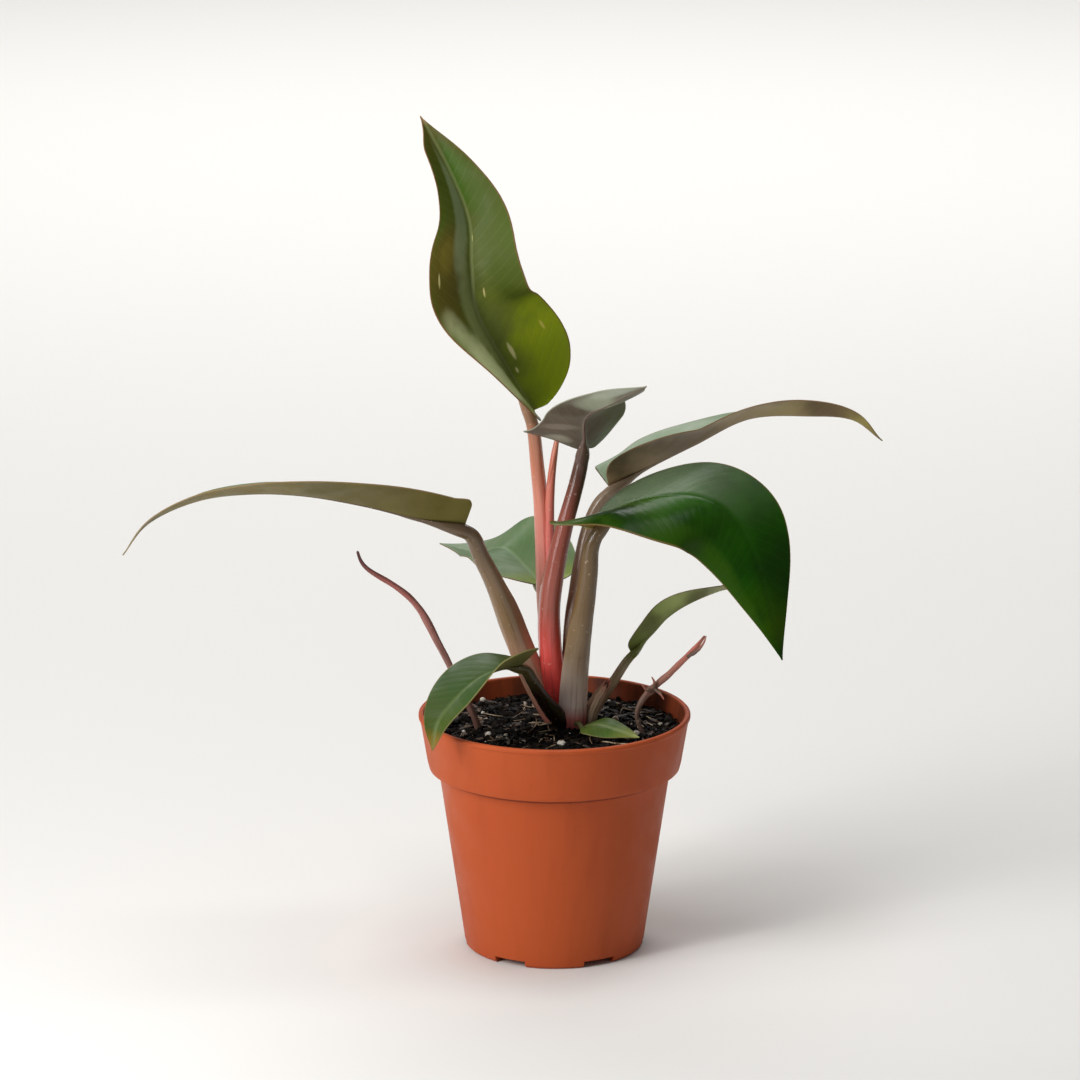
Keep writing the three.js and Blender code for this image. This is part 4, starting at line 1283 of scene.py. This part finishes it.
left_skin = stalk_material("withered_left", [
    (0, "5c4238"), (0.45, "8e6056"), (0.8, "a25c54"), (0.97, "562e2c"),
], 0.6)
left_bm = stem_tube([(-32, 2, 92), (-35, 0, 103), (-41, -2, 117), (-47, -4, 131), (-52, -5, 141),
                     (-56, -6, 150), (-62, -7, 159), (-71, -9, 167), (-80, -11, 173),
                     (-84.5, -12, 177), (-86, -12, 183)],
                    [1.5, 1.5, 1.3, 1.5, 1.6, 1.4, 1.1, 0.6], FRONT, withered_swell, 160, 20)
add_piece("withered_left", left_bm, left_skin, "withered_stalk_left")

right_skin = stalk_material("withered_right", [
    (0, "544238"), (0.35, "6c5244"), (0.6, "966454"), (0.9, "c06e5c"),
    (1, "8c584a"),
], 0.6)
right_bm = stem_tube([(41, -8, 92), (39, -8, 99), (36, -8, 106), (37, -8, 111), (41, -7, 117),
                      (49, -6, 124), (57, -5, 132), (63, -4, 138), (66, -3, 142)],
                     [0.9, 0.9, 0.9, 1.3, 1.35, 1.5, 1.4, 1.1, 0.5], FRONT, knotted_swell, 160, 20)
for bends in SCRAPS:
    merge(right_bm, stem_tube(bends, [0.9, 0.7, 0.2], FRONT, withered_swell, 40, 12))
add_piece("withered_right", right_bm, right_skin, "withered_stalk_right")


# Root fibres: thin pale roots and shreds that lie loose on the soil. A few follow the ones in
# the photograph, and the others wander at random.
FIBRES = [
    [(-12.8, 31, 0.4), (-12.2, 26, 1.2), (-14, 19, 0.9), (-17.8, 16.7, 0.8), (-19.3, 11.7, 0.5)],
    [(-11.7, 6.7, 0.6), (-6.8, 4.3, 1.5), (-3.3, 1.8, 1)],
    [(-12.1, -11.8, 0.6), (-8, -2, 1.2), (-7, 4, 1.4), (-8.3, 11, 1)],
    [(-37, -24.6, 0.4), (-28.2, -29.2, 0.9), (-20.3, -33.7, 0.8), (-12, -35.2, 0.5)],
    [(30, 30, 0.4), (33, 24, 1), (38, 22, 0.8), (43, 24, 0.6)],
]
FIBRE_COUNT = 60
FIBRE_REACH = 46
FIBRE_LIMIT = 54
FIBRE_BENDS = 4
FIBRE_VEER = 1.4
fibre_skin = new_material("root_fibres", 0.7)
fibre_tone = spread(fibre_skin, mottle(fibre_skin, solid_place(fibre_skin), 6 * MM), 0.35, 0.65)
finish(fibre_skin, blend(fibre_skin, fibre_tone, "ceb898", "6e523a"))


def wandering_bends():
    """Bends of a loose fibre in mm, with heights over the soil"""
    x, y = scatter_place(draw, FIBRE_REACH)
    angle = 2 * math.pi * draw.random()
    bends = []
    for _ in range(FIBRE_BENDS):
        bends.append((x, y, 0.3 + 0.8 * draw.random()))
        angle += FIBRE_VEER * (draw.random() - 0.5)
        step = 1.5 + 2.5 * draw.random()
        x, y = x + step * math.cos(angle), y + step * math.sin(angle)
    return bends


fibre_bm = bmesh.new()
for i in range(FIBRE_COUNT):
    bends = FIBRES[i] if i < len(FIBRES) else wandering_bends()
    thick = 0.16 + 0.14 * draw.random()
    lying = [(x, y, soil_height(x * MM, y * MM) / MM + z) for x, y, z in bends]
    if max(math.hypot(x, y) for x, y, _ in lying) < FIBRE_LIMIT:
        radii = [thick, thick, 0.5 * thick]
        merge(fibre_bm, stem_tube(lying, radii, Vector((0, 0, 1)), lambda share, angle: 1, 18, 7))
add_piece("root_fibres", fibre_bm, fibre_skin, "soil")


# Floor, lights and camera: a plain pale floor that fills the view, lit evenly by soft boxes, and
# the camera at the photograph's place.
FLOOR_REACH = 6
floor_bm = bmesh.new()
bmesh.ops.create_grid(floor_bm, x_segments=1, y_segments=1, size=FLOOR_REACH)
floor_finish = new_material("studio_floor", 0.9, 0.2)
finish(floor_finish, colour("e2e0dc"))
bare_piece("floor", floor_bm, [floor_finish])

world = bpy.data.worlds.new("studio")
bpy.context.scene.world = world
world.use_nodes = True
background = world.node_tree.nodes["Background"]
background.inputs["Color"].default_value = colour("e8eaec")
background.inputs["Strength"].default_value = 0.2


def hold(name, data, place, rotation):
    holder = bpy.data.objects.new(name, data)
    holder.location = place
    holder.rotation_euler = rotation
    bpy.context.scene.collection.objects.link(holder)
    return holder


def softbox(name, place, aim, size, power):
    light = bpy.data.lights.new(name, "AREA")
    light.shape = "RECTANGLE"
    light.size, light.size_y = size
    light.energy = power
    hold(name, light, place, (Vector(aim) - Vector(place)).to_track_quat("-Z", "Y").to_euler())


softbox("key", (-1.3, -0.9, 1.2), (0, 0, 0.15), (1, 1), 20)
softbox("top", (0, -0.1, 1.8), (0, 0, 0.25), (0.9, 0.9), 12)
softbox("strip", (-0.42, -0.38, 0.32), (0, 0, 0.32), (0.04, 0.5), 1.4)
softbox("backdrop", (0, 2.1, 1.7), (0, 2.1, 0), (3, 1.6), 50)

camera = bpy.data.cameras.new("camera")
camera.sensor_width = 36
camera.lens = 181.3
camera_place = (-0.0064, -2.303, 0.7845)
bpy.context.scene.camera = hold("camera", camera, camera_place, (math.radians(75.4), 0, 0))
bpy.context.scene.view_settings.view_transform = "Standard"
